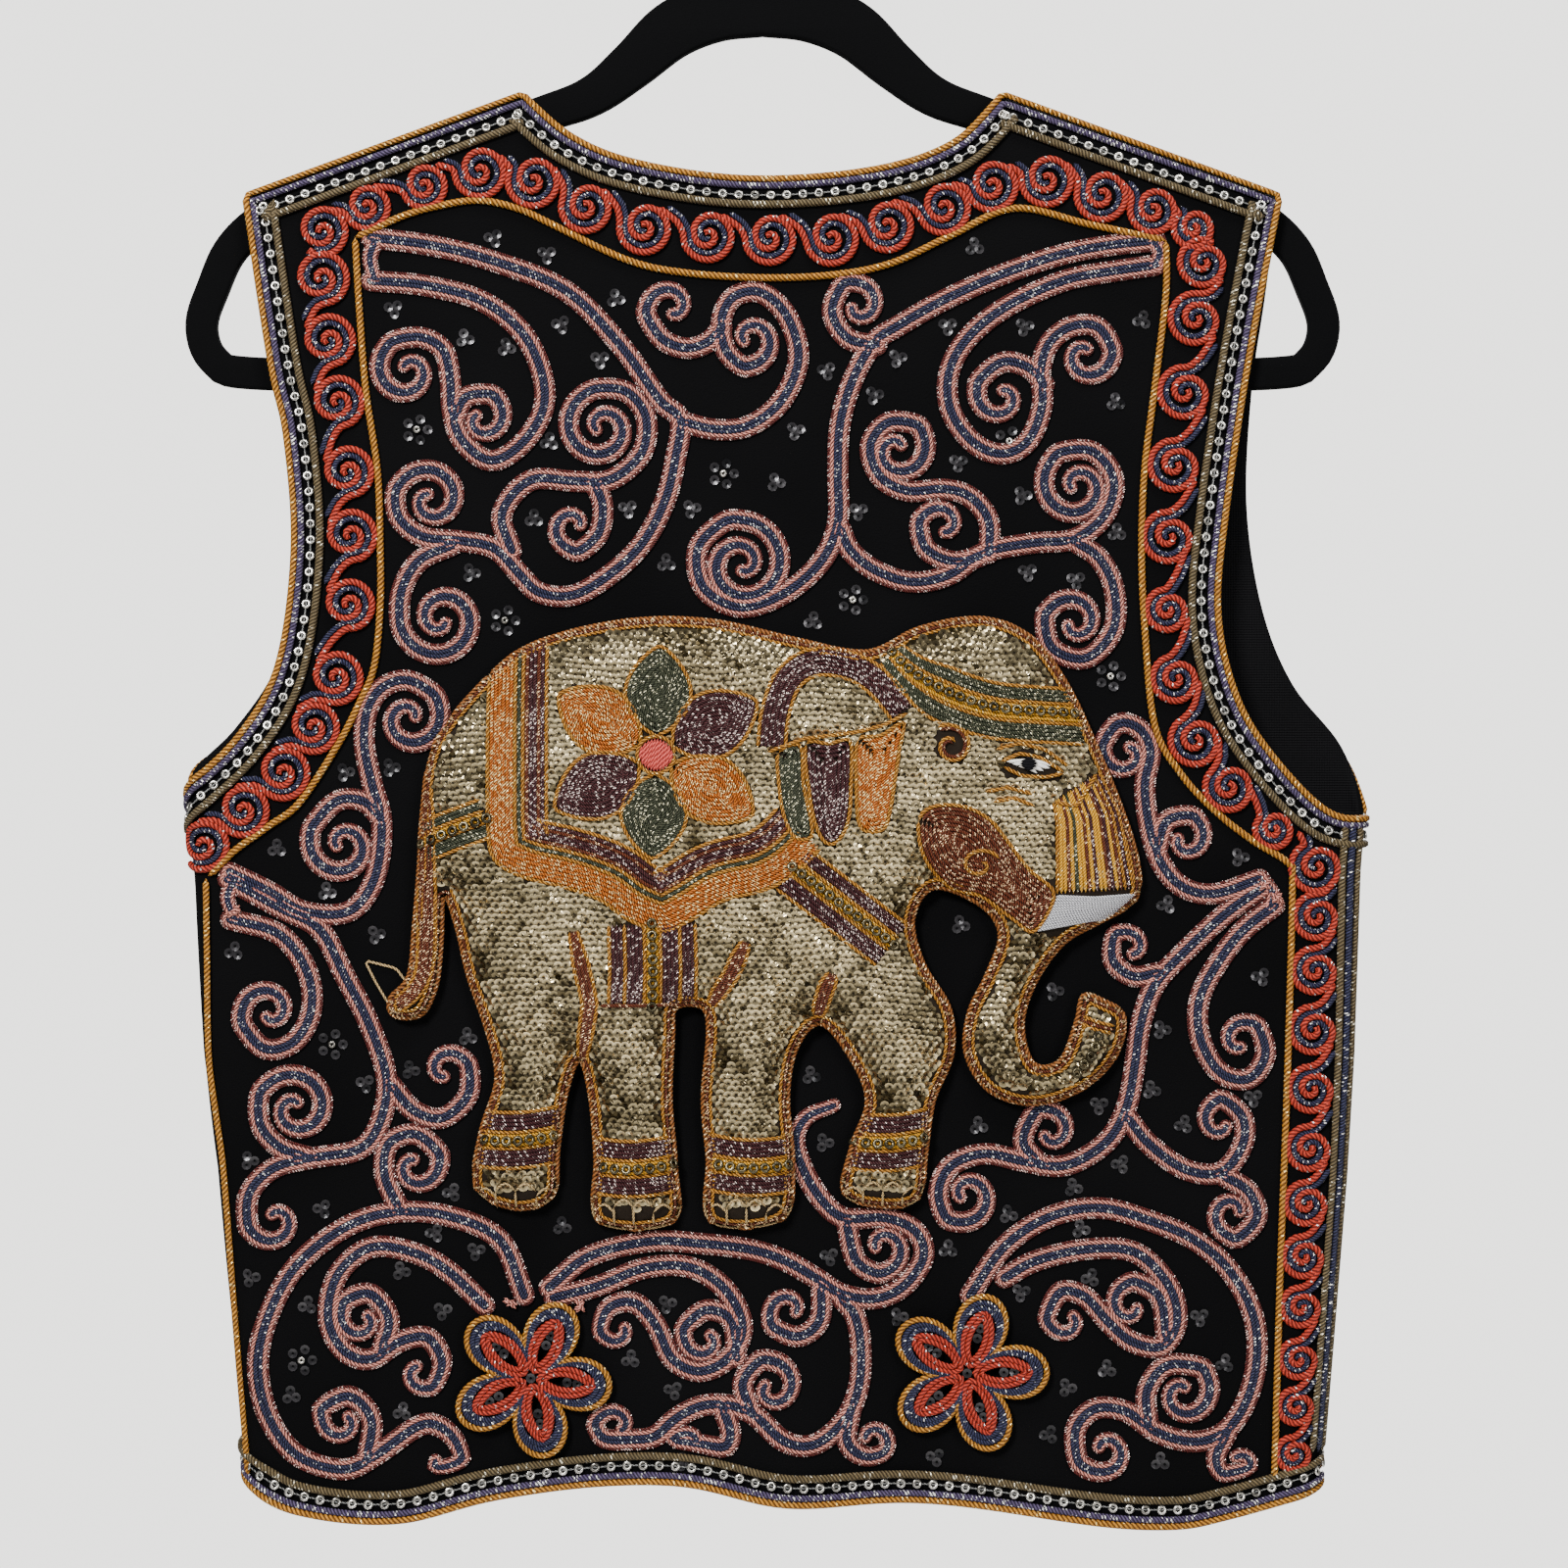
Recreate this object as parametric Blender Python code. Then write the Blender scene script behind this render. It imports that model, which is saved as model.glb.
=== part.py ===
"""Embroidered folk vest, seen from its back, hanging on a flat flocked clothes hanger.

Metres, +Z up. The embroidered back faces -Y and +X is to the viewer's right. The origin is the inside
of the hanger hook's crown, where a rail or a nail carries everything.
"""
import math
from collections import namedtuple

import bmesh
import bpy
import numpy as np
from mathutils import Vector, geometry

MM = 0.001

# Cloth and seams
WALL = 2.0 * MM                 # velvet, backing and lining together
SEAM_GAP = 0.3 * MM
APPLIQUE_GAP = 0.4 * MM         # between a panel and the padded pieces on it
CORD_RISE = 1.8 * MM            # the flat band of four cords along every edge
OVERLAY_RISE = 1.2 * MM         # couched cloth lying on the padded elephant

# Shoulders and neck, as (distance from the centre line, height)
NECK_POINT = (92 * MM, -117 * MM)
SHOULDER_TIP = (201 * MM, -157 * MM)
BACK_NECK = [(-73 * MM, -133 * MM), (-48 * MM, -143 * MM), (-6 * MM, -149 * MM),
             (40 * MM, -146 * MM), (72 * MM, -136 * MM)]
FRONT_NECK = [(72 * MM, -165 * MM), (42 * MM, -222 * MM)]
FRONT_OPENING_TOP = -290 * MM
FRONT_HALF_OPENING = 4 * MM     # the two fronts hang this far from the centre line

# The ring of cloth at each height: how far each side reaches, how far the back runs on round the
# left edge, and half the depth between the layers
Ring = namedtuple("Ring", "height left_reach right_reach left_wrap half_depth")
RINGS = [
    Ring(-667 * MM, 198 * MM, 214 * MM, 24 * MM, 12.0 * MM),
    Ring(-535 * MM, 210.5 * MM, 225 * MM, 18 * MM, 10.0 * MM),
    Ring(-489 * MM, 216 * MM, 228 * MM, 14 * MM, 9.0 * MM),
    Ring(-418 * MM, 220 * MM, 231 * MM, 11 * MM, 7.5 * MM),
    Ring(-396 * MM, 222 * MM, 233 * MM, 9 * MM, 7.0 * MM),
    Ring(-240 * MM, 222 * MM, 233 * MM, 9 * MM, 5.4 * MM),
    Ring(-100 * MM, 222 * MM, 233 * MM, 9 * MM, 5.0 * MM),
]

# Armhole edges from the underarm up, as (distance from the centre line, height)
UNDERARM = -396 * MM
BACK_LEFT_ARMHOLE = [(223 * MM, -384.5 * MM), (203 * MM, -365 * MM), (188 * MM, -338 * MM),
                     (182 * MM, -293 * MM), (185 * MM, -250 * MM), (191 * MM, -222 * MM)]
BACK_RIGHT_ARMHOLE = [(219 * MM, -394 * MM), (198 * MM, -373 * MM), (184 * MM, -350 * MM),
                      (177 * MM, -318 * MM), (180 * MM, -280 * MM), (189 * MM, -220 * MM)]
FRONT_LEFT_ARMHOLE = [(224 * MM, -381 * MM), (206 * MM, -362 * MM), (189 * MM, -335 * MM),
                      (179 * MM, -290 * MM), (181 * MM, -245 * MM), (190 * MM, -205 * MM)]
FRONT_RIGHT_ARMHOLE = [(226 * MM, -369 * MM), (207 * MM, -345 * MM), (195 * MM, -315 * MM),
                       (189 * MM, -275 * MM), (191 * MM, -230 * MM), (196 * MM, -195 * MM)]

# The hem's lowest line, which dips under each fold
HemPoint = namedtuple("HemPoint", "across height")
BACK_HEM = [HemPoint(-240 * MM, -644 * MM), HemPoint(-205 * MM, -652 * MM), HemPoint(-180 * MM, -664 * MM),
            HemPoint(-140 * MM, -667 * MM), HemPoint(-100 * MM, -659 * MM), HemPoint(-35 * MM, -653 * MM),
            HemPoint(10 * MM, -661 * MM), HemPoint(60 * MM, -661 * MM), HemPoint(145 * MM, -669 * MM),
            HemPoint(180 * MM, -666 * MM), HemPoint(235 * MM, -650 * MM)]
FRONT_HEM = [HemPoint(-240 * MM, -644 * MM), HemPoint(-150 * MM, -653 * MM), HemPoint(0 * MM, -650 * MM),
             HemPoint(150 * MM, -656 * MM), HemPoint(235 * MM, -650 * MM)]
FOLD_TOP = -560 * MM            # the folds grow from here down to the hem
FOLD_DEPTH = 5 * MM
FOLD_PITCH = 146 * MM
FOLD_CREST = -150 * MM

# Distances of the grid lines from the edges: they mark the cord bands and the rounded shoulder
BAND_WIDTH = 12.5 * MM
SIDE_BAND_WIDTH = 7 * MM
TOP_LINES = [0.9 * MM, 2.6 * MM, 5.0 * MM, BAND_WIDTH]
NECK_LINES = [2.0 * MM, 5.5 * MM]
SIDE_CELLS = 12
ARMHOLE_CELLS = 11
BACK_SHOULDER_CELLS = 4
BACK_NECK_CELLS = 14
FRONT_CELLS = 8
FRONT_UPPER_CELLS = 13

# Padded elephant, facing the viewer's right, drawn as a smooth closed line through these points
BODY_PAD = 9.5 * MM
PAD_SHOULDER = 24 * MM          # how far in from the edge the padding keeps rising
PAD_EDGE = 1.6 * MM
PAD_GRID = 10.5 * MM
ELEPHANT_OUTLINE = [
    (-105, -342), (-86, -329), (-52, -321), (-20, -321), (12, -328), (40, -333), (60, -324), (84, -320),
    (103, -327), (117, -345), (127, -366), (137, -390), (144, -412), (144, -428), (130, -437), (116, -445),
    (105, -460), (100, -476), (104, -491), (114, -490), (120, -476), (123, -465), (131, -467), (139, -473),
    (136, -488), (123, -501), (104, -507), (87, -502), (78, -488), (79, -472), (86, -457), (91, -442),
    (84, -431), (66, -424), (58, -436), (62, -453), (72, -470), (73, -488), (66, -505), (63, -525),
    (60, -543), (46, -546), (31, -541), (34, -523), (40, -505), (33, -488), (22, -476), (13, -486),
    (10, -505), (12, -530), (8, -551), (-20, -552), (-21, -528), (-23, -505), (-21, -480), (-23, -470), (-33, -470),
    (-34, -480), (-35, -505), (-33, -530), (-34, -552), (-63, -552), (-64, -528), (-66, -505), (-70, -490),
    (-75, -503), (-78, -524), (-80, -542), (-94, -547), (-110, -539), (-108, -517), (-102, -497),
    (-106, -478), (-113, -458), (-117, -441), (-122, -427), (-123, -446), (-125, -462), (-131, -473),
    (-142, -473), (-143, -466), (-136, -458), (-134, -440), (-132, -415), (-131, -396), (-126, -368),
]
SADDLE_OUTLINE = [(-82, -332), (-99, -348), (-104, -378), (-103, -407), (-80, -413), (-52, -428), (-34, -440),
                  (-14, -427), (14, -414), (-2, -395), (-3, -372), (-6, -345), (-8, -329), (-45, -325)]
EAR_OUTLINE = [(3, -362), (9, -346), (22, -338), (38, -342), (52, -357), (49, -384), (42, -401),
               (28, -409), (15, -401), (8, -384)]
HEAD_DRESS_OUTLINE = [(50, -337), (60, -334), (76, -343), (96, -349), (112, -351), (119, -364),
                      (98, -371), (72, -364), (58, -350)]

# Five-petalled flowers near the hem
FLOWER_CENTRES = {"flower_applique_left": (-89 * MM, -612 * MM), "flower_applique_right": (79 * MM, -609 * MM)}
FLOWER_TURN = {"flower_applique_left": math.radians(-7), "flower_applique_right": math.radians(2)}
FLOWER_RADIUS = 31 * MM
FLOWER_NOTCH = 11 * MM
FLOWER_RISE = 2.4 * MM
FLOWER_GRID = 9 * MM

# Hanger: the middle line of its flat bar, from the crown round the right end to the bottom bar, with
# half the bar's width at each point
BarPoint = namedtuple("BarPoint", "across height half_width")
HANGER_HALF_THICKNESS = 2.6 * MM
HANGER_EDGE_ROUND = 1.0 * MM
HANGER_BAR = [
    BarPoint(0 * MM, -82 * MM, 11.3 * MM), BarPoint(18 * MM, -84 * MM, 11.3 * MM),
    BarPoint(35 * MM, -91 * MM, 11.0 * MM), BarPoint(51 * MM, -105 * MM, 9.2 * MM),
    BarPoint(67 * MM, -117 * MM, 7.6 * MM), BarPoint(90 * MM, -125.4 * MM, 6.8 * MM),
    BarPoint(145 * MM, -145.8 * MM, 6.8 * MM), BarPoint(185 * MM, -160.8 * MM, 6.8 * MM),
    BarPoint(197 * MM, -167 * MM, 6.8 * MM), BarPoint(207 * MM, -177 * MM, 6.5 * MM),
    BarPoint(213 * MM, -190 * MM, 6.3 * MM),
    BarPoint(218 * MM, -206 * MM, 6.2 * MM), BarPoint(213 * MM, -219.5 * MM, 6.2 * MM),
    BarPoint(197 * MM, -224.5 * MM, 6.2 * MM), BarPoint(120 * MM, -225 * MM, 6.2 * MM),
    BarPoint(0 * MM, -225 * MM, 6.2 * MM),
]
HANGER_SAMPLES = 34             # points along half of the hanger
HOOK_WIRE = 1.75 * MM
HOOK_INSIDE_RADIUS = 20 * MM
HOOK_STEM_BEND = -52 * MM


# Helpers for lines

def smooth_line(points, closed=False, per_span=8):
    """A Catmull-Rom line through the points, as an array of closely spaced points."""
    nodes = np.array(points, dtype=float)
    if closed:
        padded = np.vstack([nodes[-1], nodes, nodes[0], nodes[1]])
    else:
        padded = np.vstack([2 * nodes[0] - nodes[1], nodes, 2 * nodes[-1] - nodes[-2]])
    steps = np.linspace(0, 1, per_span, endpoint=False)[:, None]
    line = []
    for a, b, c, d in zip(padded, padded[1:], padded[2:], padded[3:]):
        line.append(b + 0.5 * steps * (c - a) + steps ** 2 * (a - 2.5 * b + 2 * c - 0.5 * d)
                    + steps ** 3 * (1.5 * (b - c) + 0.5 * (d - a)))
    if not closed:
        line.append(nodes[-1:])
    return np.vstack(line)


def line_length(line):
    """The distance along a line up to each of its points."""
    steps = np.linalg.norm(np.diff(line[:, :2], axis=0), axis=1)
    return np.concatenate([[0.0], np.cumsum(steps)])


def along(line, distances):
    """The points of a line at the given distances from its start."""
    reached = line_length(line)
    return np.column_stack([np.interp(distances, reached, column) for column in line.T])


# The hung cloth

def ring_at(height):
    """The named sizes of the ring of cloth at each height."""
    heights = [ring.height for ring in RINGS]
    return [np.interp(height, heights, [getattr(ring, name) for ring in RINGS])
            for name in ("left_reach", "right_reach", "left_wrap", "half_depth")]


def to_shoulder_seam(across, height):
    """Distance from the shoulder seam, and the direction that leads to it."""
    start = np.array(NECK_POINT)
    run = np.array(SHOULDER_TIP) - start
    spot = np.stack([np.abs(across), height], axis=-1)
    share = np.clip(((spot - start) @ run) / (run @ run), 0, 1)
    offset = start + share[..., None] * run - spot
    distance = np.linalg.norm(offset, axis=-1)
    upright = np.array([-run[1], run[0]]) / np.linalg.norm(run)
    near = (distance > 0.2 * MM)[..., None]
    toward = np.where(near, offset / np.maximum(distance, 1e-9)[..., None], upright)
    toward[..., 0] *= np.where(across < 0, -1, 1)
    return distance, toward


def fold(layer, across, height, reach):
    """How far the soft vertical folds near the hem push the cloth out."""
    growth = np.clip((FOLD_TOP - height) / (FOLD_TOP - RINGS[0].height), 0, 1) ** 1.5
    window = np.clip(1 - (np.abs(across) / reach) ** 4, 0, 1)
    phase = FOLD_CREST if layer < 0 else -FOLD_CREST / 3
    depth = FOLD_DEPTH if layer < 0 else FOLD_DEPTH / 2
    return depth * growth * window * np.cos(2 * math.pi * (across - phase) / FOLD_PITCH)


def cloth(layer, across, height, lift):
    """Points on a layer of the cloth, lifted off its middle. Layer -1 is the back and +1 the front.

    The layer lies flat, turns round each edge in a half circle, and runs over the shoulder seam.
    """
    left_reach, right_reach, _, depth = ring_at(height)
    side = np.where(across < 0, -1.0, 1.0)
    reach = np.where(across < 0, left_reach, right_reach)
    flat = reach - depth
    distance = np.abs(across)
    turn = np.clip((distance - flat) / depth, 0, math.pi)
    past = np.maximum(distance - flat - math.pi * depth, 0)
    x = side * (np.minimum(distance, flat) + depth * np.sin(turn) - past)
    y = layer * depth * np.cos(turn)
    normal = np.stack([side * np.sin(turn), layer * np.cos(turn), np.zeros_like(x)], axis=-1)
    seam_distance, toward = to_shoulder_seam(across, height)
    lean = np.clip(1 - seam_distance / depth, 0, 1)
    upright = np.sqrt(1 - lean ** 2)
    y = layer * SEAM_GAP / 2 + (y - layer * SEAM_GAP / 2) * upright
    over = np.stack([toward[..., 0], np.zeros_like(x), toward[..., 1]], axis=-1)
    normal = normal * upright[..., None] + over * lean[..., None]
    y = y + layer * fold(layer, x, height, reach)
    return np.stack([x, y, height], axis=-1) + normal * lift[..., None]


def seam_across(layer, side, height):
    """Where the side seam runs, measured along the cloth from the centre line."""
    left_reach, right_reach, left_wrap, depth = ring_at(height)
    reach = left_reach if side < 0 else right_reach
    wrap = left_wrap if side < 0 else 0.0
    return side * (reach - depth + math.pi * depth / 2 - layer * wrap - SEAM_GAP / 2)


def hem_height(hem, across):
    line = smooth_line(hem)
    return np.interp(across, line[:, 0], line[:, 1])


def outer_edge(layer, side, armhole, hem):
    """The side seam and the armhole, from the hem to the shoulder tip, one point for each grid row."""
    foot = hem_height(hem, seam_across(layer, side, RINGS[0].height))
    seam_heights = np.concatenate([[foot], np.linspace(foot + BAND_WIDTH, UNDERARM, SIDE_CELLS)])
    seam = np.column_stack([seam_across(layer, side, seam_heights), seam_heights])
    points = [(side * across, height) for across, height in armhole]
    tip = (side * SHOULDER_TIP[0], SHOULDER_TIP[1])
    curve = smooth_line([tuple(seam[-1])] + points + [tip])
    end = line_length(curve)[-1]
    stops = np.concatenate([np.linspace(0, end - BAND_WIDTH, ARMHOLE_CELLS)[1:],
                            [end - line for line in reversed(TOP_LINES[:-1])], [end]])
    return np.vstack([seam, along(curve, stops)])


def patch(left, right, bottom, top):
    """A grid between four edges that meet at their ends (a Coons patch)."""
    rows = line_length(left) + line_length(right)
    rows = (rows / rows[-1])[:, None, None]
    columns = line_length(top) + line_length(bottom)
    columns = (columns / columns[-1])[None, :, None]
    ruled_up = (1 - rows) * bottom[None] + rows * top[None]
    ruled_over = (1 - columns) * left[:, None] + columns * right[:, None]
    corners = ((1 - rows) * ((1 - columns) * bottom[0] + columns * bottom[-1])
               + rows * ((1 - columns) * top[0] + columns * top[-1]))
    return ruled_up + ruled_over - corners


def back_grid():
    left = outer_edge(-1, -1, BACK_LEFT_ARMHOLE, BACK_HEM)
    right = outer_edge(-1, 1, BACK_RIGHT_ARMHOLE, BACK_HEM)
    neck = smooth_line([(-NECK_POINT[0], NECK_POINT[1])] + BACK_NECK + [NECK_POINT])
    end = line_length(neck)[-1]
    even = np.linspace(0, end, BACK_NECK_CELLS + 1)
    near = np.array(NECK_LINES)
    neck = along(neck, np.concatenate([[0], near, even[1:-1], (end - near)[::-1], [end]]))
    tip, point = np.array(SHOULDER_TIP), np.array(NECK_POINT)
    run = np.linalg.norm(point - tip)
    stops = np.concatenate([[0, SIDE_BAND_WIDTH], np.linspace(BAND_WIDTH, run, BACK_SHOULDER_CELLS)])
    shoulder = tip + (stops / run)[:, None] * (point - tip)
    mirrored = shoulder * (-1, 1)
    top = np.vstack([mirrored, neck[1:-1], shoulder[::-1]])
    share = (top[:, 0] - top[0, 0]) / (top[-1, 0] - top[0, 0])
    across = left[0, 0] + share * (right[0, 0] - left[0, 0])
    bottom = np.column_stack([across, hem_height(BACK_HEM, across)])
    bottom[0], bottom[-1] = left[0], right[0]
    return patch(left, right, bottom, top)


def front_grid(side):
    armhole = FRONT_LEFT_ARMHOLE if side < 0 else FRONT_RIGHT_ARMHOLE
    outer = outer_edge(1, side, armhole, FRONT_HEM)
    centre = side * FRONT_HALF_OPENING
    foot = hem_height(FRONT_HEM, centre)
    rows = len(outer) - 1
    lower_cells = rows - FRONT_UPPER_CELLS - 1
    lower = np.concatenate([[foot], np.linspace(foot + BAND_WIDTH, FRONT_OPENING_TOP, lower_cells + 1)])
    points = [(side * across, height) for across, height in FRONT_NECK]
    neck = smooth_line([(centre, FRONT_OPENING_TOP)] + points[::-1] + [(side * NECK_POINT[0], NECK_POINT[1])])
    end = line_length(neck)[-1]
    stops = np.concatenate([np.linspace(0, end - BAND_WIDTH, FRONT_UPPER_CELLS - 3)[1:],
                            [end - line for line in reversed(TOP_LINES[:-1])], [end]])
    inner = np.vstack([np.column_stack([np.full(len(lower), centre), lower]), along(neck, stops)])
    tip = np.array([side * SHOULDER_TIP[0], SHOULDER_TIP[1]])
    point = np.array([side * NECK_POINT[0], NECK_POINT[1]])
    run = np.linalg.norm(point - tip)
    stops = np.concatenate([[0, SIDE_BAND_WIDTH], np.linspace(BAND_WIDTH, run - BAND_WIDTH, FRONT_CELLS - 2), [run]])
    top = tip + (stops / run)[:, None] * (point - tip)
    share = (stops / run)
    across = outer[0, 0] + share * (inner[0, 0] - outer[0, 0])
    bottom = np.column_stack([across, hem_height(FRONT_HEM, across)])
    bottom[0], bottom[-1] = outer[0], inner[0]
    return patch(outer, inner, bottom, top)


# Solids

def material(name, colour, roughness, metallic=0.0):
    finish = bpy.data.materials.new(name)
    finish.use_nodes = True
    shader = finish.node_tree.nodes["Principled BSDF"]
    shader.inputs["Base Color"].default_value = (*colour, 1.0)
    shader.inputs["Roughness"].default_value = roughness
    shader.inputs["Metallic"].default_value = metallic
    return finish


def add_object(name, mesh, finish, parts):
    mesh.materials.append(finish)
    mesh.shade_smooth()
    mesh.set_sharp_from_angle(angle=math.radians(35))
    piece = bpy.data.objects.new(name, mesh)
    parts.objects.link(piece)
    return piece


def thicken(name, sheet, low, high, finish, parts):
    """Closes a flat bmesh into a solid. Its vertices go to the low points and a copy to the high ones."""
    sheet.verts.ensure_lookup_table()
    tag = sheet.verts.layers.int.new("spot")
    for vert in sheet.verts:
        vert[tag] = vert.index
    lower = list(sheet.verts)
    raised = bmesh.ops.extrude_face_region(sheet, geom=sheet.faces[:])["geom"]
    for vert in lower:
        vert.co = low[vert[tag]]
    for vert in raised:
        if isinstance(vert, bmesh.types.BMVert):
            vert.co = high[vert[tag]]
    bmesh.ops.recalc_face_normals(sheet, faces=sheet.faces[:])
    mesh = bpy.data.meshes.new(name)
    sheet.to_mesh(mesh)
    sheet.free()
    return add_object(name, mesh, finish, parts)


def grid_solid(name, layer, grid, keep, low_lift, high_lift, finish, parts):
    """A solid over the cells of a panel's grid that keep(row, column) accepts."""
    rows, columns = grid.shape[0] - 1, grid.shape[1] - 1
    sheet = bmesh.new()
    bmesh.ops.create_grid(sheet, x_segments=columns, y_segments=rows, size=0.5)
    spare = []
    for face in sheet.faces:
        middle = face.calc_center_median()
        if not keep(int((middle.y + 0.5) * rows), int((middle.x + 0.5) * columns)):
            spare.append(face)
    bmesh.ops.delete(sheet, geom=spare, context="FACES")
    sheet.verts.index_update()
    spots = [(round((vert.co.y + 0.5) * rows), round((vert.co.x + 0.5) * columns)) for vert in sheet.verts]
    across = np.array([grid[row, column, 0] for row, column in spots])
    height = np.array([grid[row, column, 1] for row, column in spots])
    low = cloth(layer, across, height, np.full(len(spots), low_lift))
    high = cloth(layer, across, height, np.full(len(spots), high_lift))
    return thicken(name, sheet, low, high, finish, parts)


def panel(name, layer, grid, velvet, cords, parts, cord_name, open_side=None):
    """One cloth panel and the flat band of cords round its edge."""
    rows, columns = grid.shape[0] - 1, grid.shape[1] - 1
    seam_rows = SIDE_CELLS

    def on_band(row, column):
        if row < 1 or row >= rows - len(TOP_LINES):
            return True
        narrow = 1 if row < seam_rows else 2
        first = column < narrow
        last = column >= columns - (1 if open_side else narrow)
        return first or last

    grid_solid(name, layer, grid, lambda row, column: True, -WALL / 2, WALL / 2, velvet, parts)
    base = WALL / 2 + SEAM_GAP
    grid_solid(cord_name, layer, grid, on_band, base, base + CORD_RISE, cords, parts)


# Appliques

def inside(outline, spot):
    """Whether a spot lies within a closed outline."""
    following = np.roll(outline, -1, axis=0)
    crosses = (outline[:, 1] > spot[1]) != (following[:, 1] > spot[1])
    rise = np.where(crosses, following[:, 1] - outline[:, 1], 1.0)
    reached = outline[:, 0] + (spot[1] - outline[:, 1]) / rise * (following[:, 0] - outline[:, 0])
    return bool(np.count_nonzero(crosses & (spot[0] < reached)) % 2)


def edge_distance(outline, spots):
    """How far each spot lies from a closed outline."""
    start = outline[None]
    run = np.roll(outline, -1, axis=0)[None] - start
    share = np.clip(((spots[:, None] - start) * run).sum(-1) / (run * run).sum(-1), 0, 1)
    return np.linalg.norm(start + share[..., None] * run - spots[:, None], axis=-1).min(axis=1)


def padding(outline, spots):
    """Height of the padded elephant over the cloth: a thin edge that swells to a soft crown."""
    rise = np.clip(edge_distance(outline, spots) / PAD_SHOULDER, 0, 1)
    return PAD_EDGE + BODY_PAD * np.sqrt(1 - (1 - rise) ** 2)


def mesh_within(outlines, spacing):
    """Triangles that fill the first outline and follow the lines of the others."""
    first = outlines[0]
    low, high = first.min(axis=0), first.max(axis=0)
    spots = [Vector(spot) for outline in outlines for spot in outline]
    edges = []
    start = 0
    for outline in outlines:
        count = len(outline)
        edges += [(start + i, start + (i + 1) % count) for i in range(count)]
        start += count
    lines = np.vstack(outlines)
    row_step = spacing * math.sqrt(3) / 2
    for row, height in enumerate(np.arange(low[1], high[1], row_step)):
        shift = spacing / 2 * (row % 2)
        for across in np.arange(low[0] + shift, high[0], spacing):
            spot = np.array([across, height])
            if inside(first, spot) and np.linalg.norm(lines - spot, axis=1).min() > spacing * 0.6:
                spots.append(Vector(spot))
    verts, _, faces, _, _, _ = geometry.delaunay_2d_cdt(spots, edges, [], 1, 1e-7)
    return np.array([tuple(vert) for vert in verts]), faces


def applique(name, outline, points, faces, low_lift, high_lift, finish, parts):
    """A solid over the triangles that lie within an outline."""
    sheet = bmesh.new()
    chosen = [face for face in faces if inside(outline, points[list(face)].mean(axis=0))]
    used = sorted({spot for face in chosen for spot in face})
    verts = {spot: sheet.verts.new((*points[spot], 0)) for spot in used}
    for face in chosen:
        sheet.faces.new([verts[spot] for spot in face])
    sheet.verts.index_update()
    across, height = points[used, 0], points[used, 1]
    low = cloth(-1, across, height, low_lift[used])
    high = cloth(-1, across, height, high_lift[used])
    return thicken(name, sheet, low, high, finish, parts)


def elephant(parts):
    body_finish = material("champagne_sequins", (0.55, 0.48, 0.32), 0.3, 0.6)
    saddle_finish = material("couched_orange", (0.75, 0.32, 0.08), 0.6)
    ear_finish = material("couched_purple", (0.20, 0.08, 0.12), 0.6)
    dress_finish = material("couched_yellow", (0.72, 0.48, 0.10), 0.6)
    outlines = [smooth_line(np.array(points) * MM, closed=True, per_span=2)
                for points in (ELEPHANT_OUTLINE, SADDLE_OUTLINE, EAR_OUTLINE, HEAD_DRESS_OUTLINE)]
    body, saddle, ear, dress = outlines
    points, faces = mesh_within(outlines, PAD_GRID)
    base = np.full(len(points), WALL / 2 + APPLIQUE_GAP)
    crown = base + padding(body, points)
    overlay = crown + SEAM_GAP
    applique("elephant_body", body, points, faces, base, crown, body_finish, parts)
    top = overlay + OVERLAY_RISE
    applique("elephant_saddle_cloth", saddle, points, faces, overlay, top, saddle_finish, parts)
    applique("elephant_ear", ear, points, faces, overlay, top, ear_finish, parts)
    applique("elephant_head_dress", dress, points, faces, overlay, top, dress_finish, parts)


def flowers(parts):
    finish = material("couched_navy", (0.10, 0.11, 0.22), 0.6)
    for name, centre in FLOWER_CENTRES.items():
        angles = np.linspace(0, 2 * math.pi, 40, endpoint=False)
        swell = np.abs(np.cos(2.5 * (angles - FLOWER_TURN[name]))) ** 0.7
        radius = FLOWER_NOTCH + (FLOWER_RADIUS - FLOWER_NOTCH) * swell
        outline = np.column_stack([centre[0] + radius * np.cos(angles), centre[1] + radius * np.sin(angles)])
        points, faces = mesh_within([outline], FLOWER_GRID)
        base = np.full(len(points), WALL / 2 + APPLIQUE_GAP)
        applique(name, outline, points, faces, base, base + FLOWER_RISE, finish, parts)


# Hanger

def solid_from_curve(name, curve, finish, parts):
    """Turns a curve object into a welded mesh with its place in its points."""
    piece = bpy.data.objects.new(name + "_line", curve)
    parts.objects.link(piece)
    piece.rotation_euler = (math.pi / 2, 0, 0)
    bpy.context.view_layer.update()
    mesh = bpy.data.meshes.new_from_object(piece.evaluated_get(bpy.context.evaluated_depsgraph_get()))
    mesh.name = name
    mesh.transform(piece.matrix_world)
    bpy.data.objects.remove(piece)
    welded = bmesh.new()
    welded.from_mesh(mesh)
    bmesh.ops.remove_doubles(welded, verts=welded.verts[:], dist=0.00001)
    bmesh.ops.recalc_face_normals(welded, faces=welded.faces[:])
    welded.to_mesh(mesh)
    welded.free()
    mesh.materials.clear()
    return add_object(name, mesh, finish, parts)


def add_spline(curve, points, closed):
    spline = curve.splines.new("POLY")
    spline.points.add(len(points) - 1)
    for spot, (across, height) in zip(spline.points, points):
        spot.co = (across, height, 0, 1)
    spline.use_cyclic_u = closed


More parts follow.
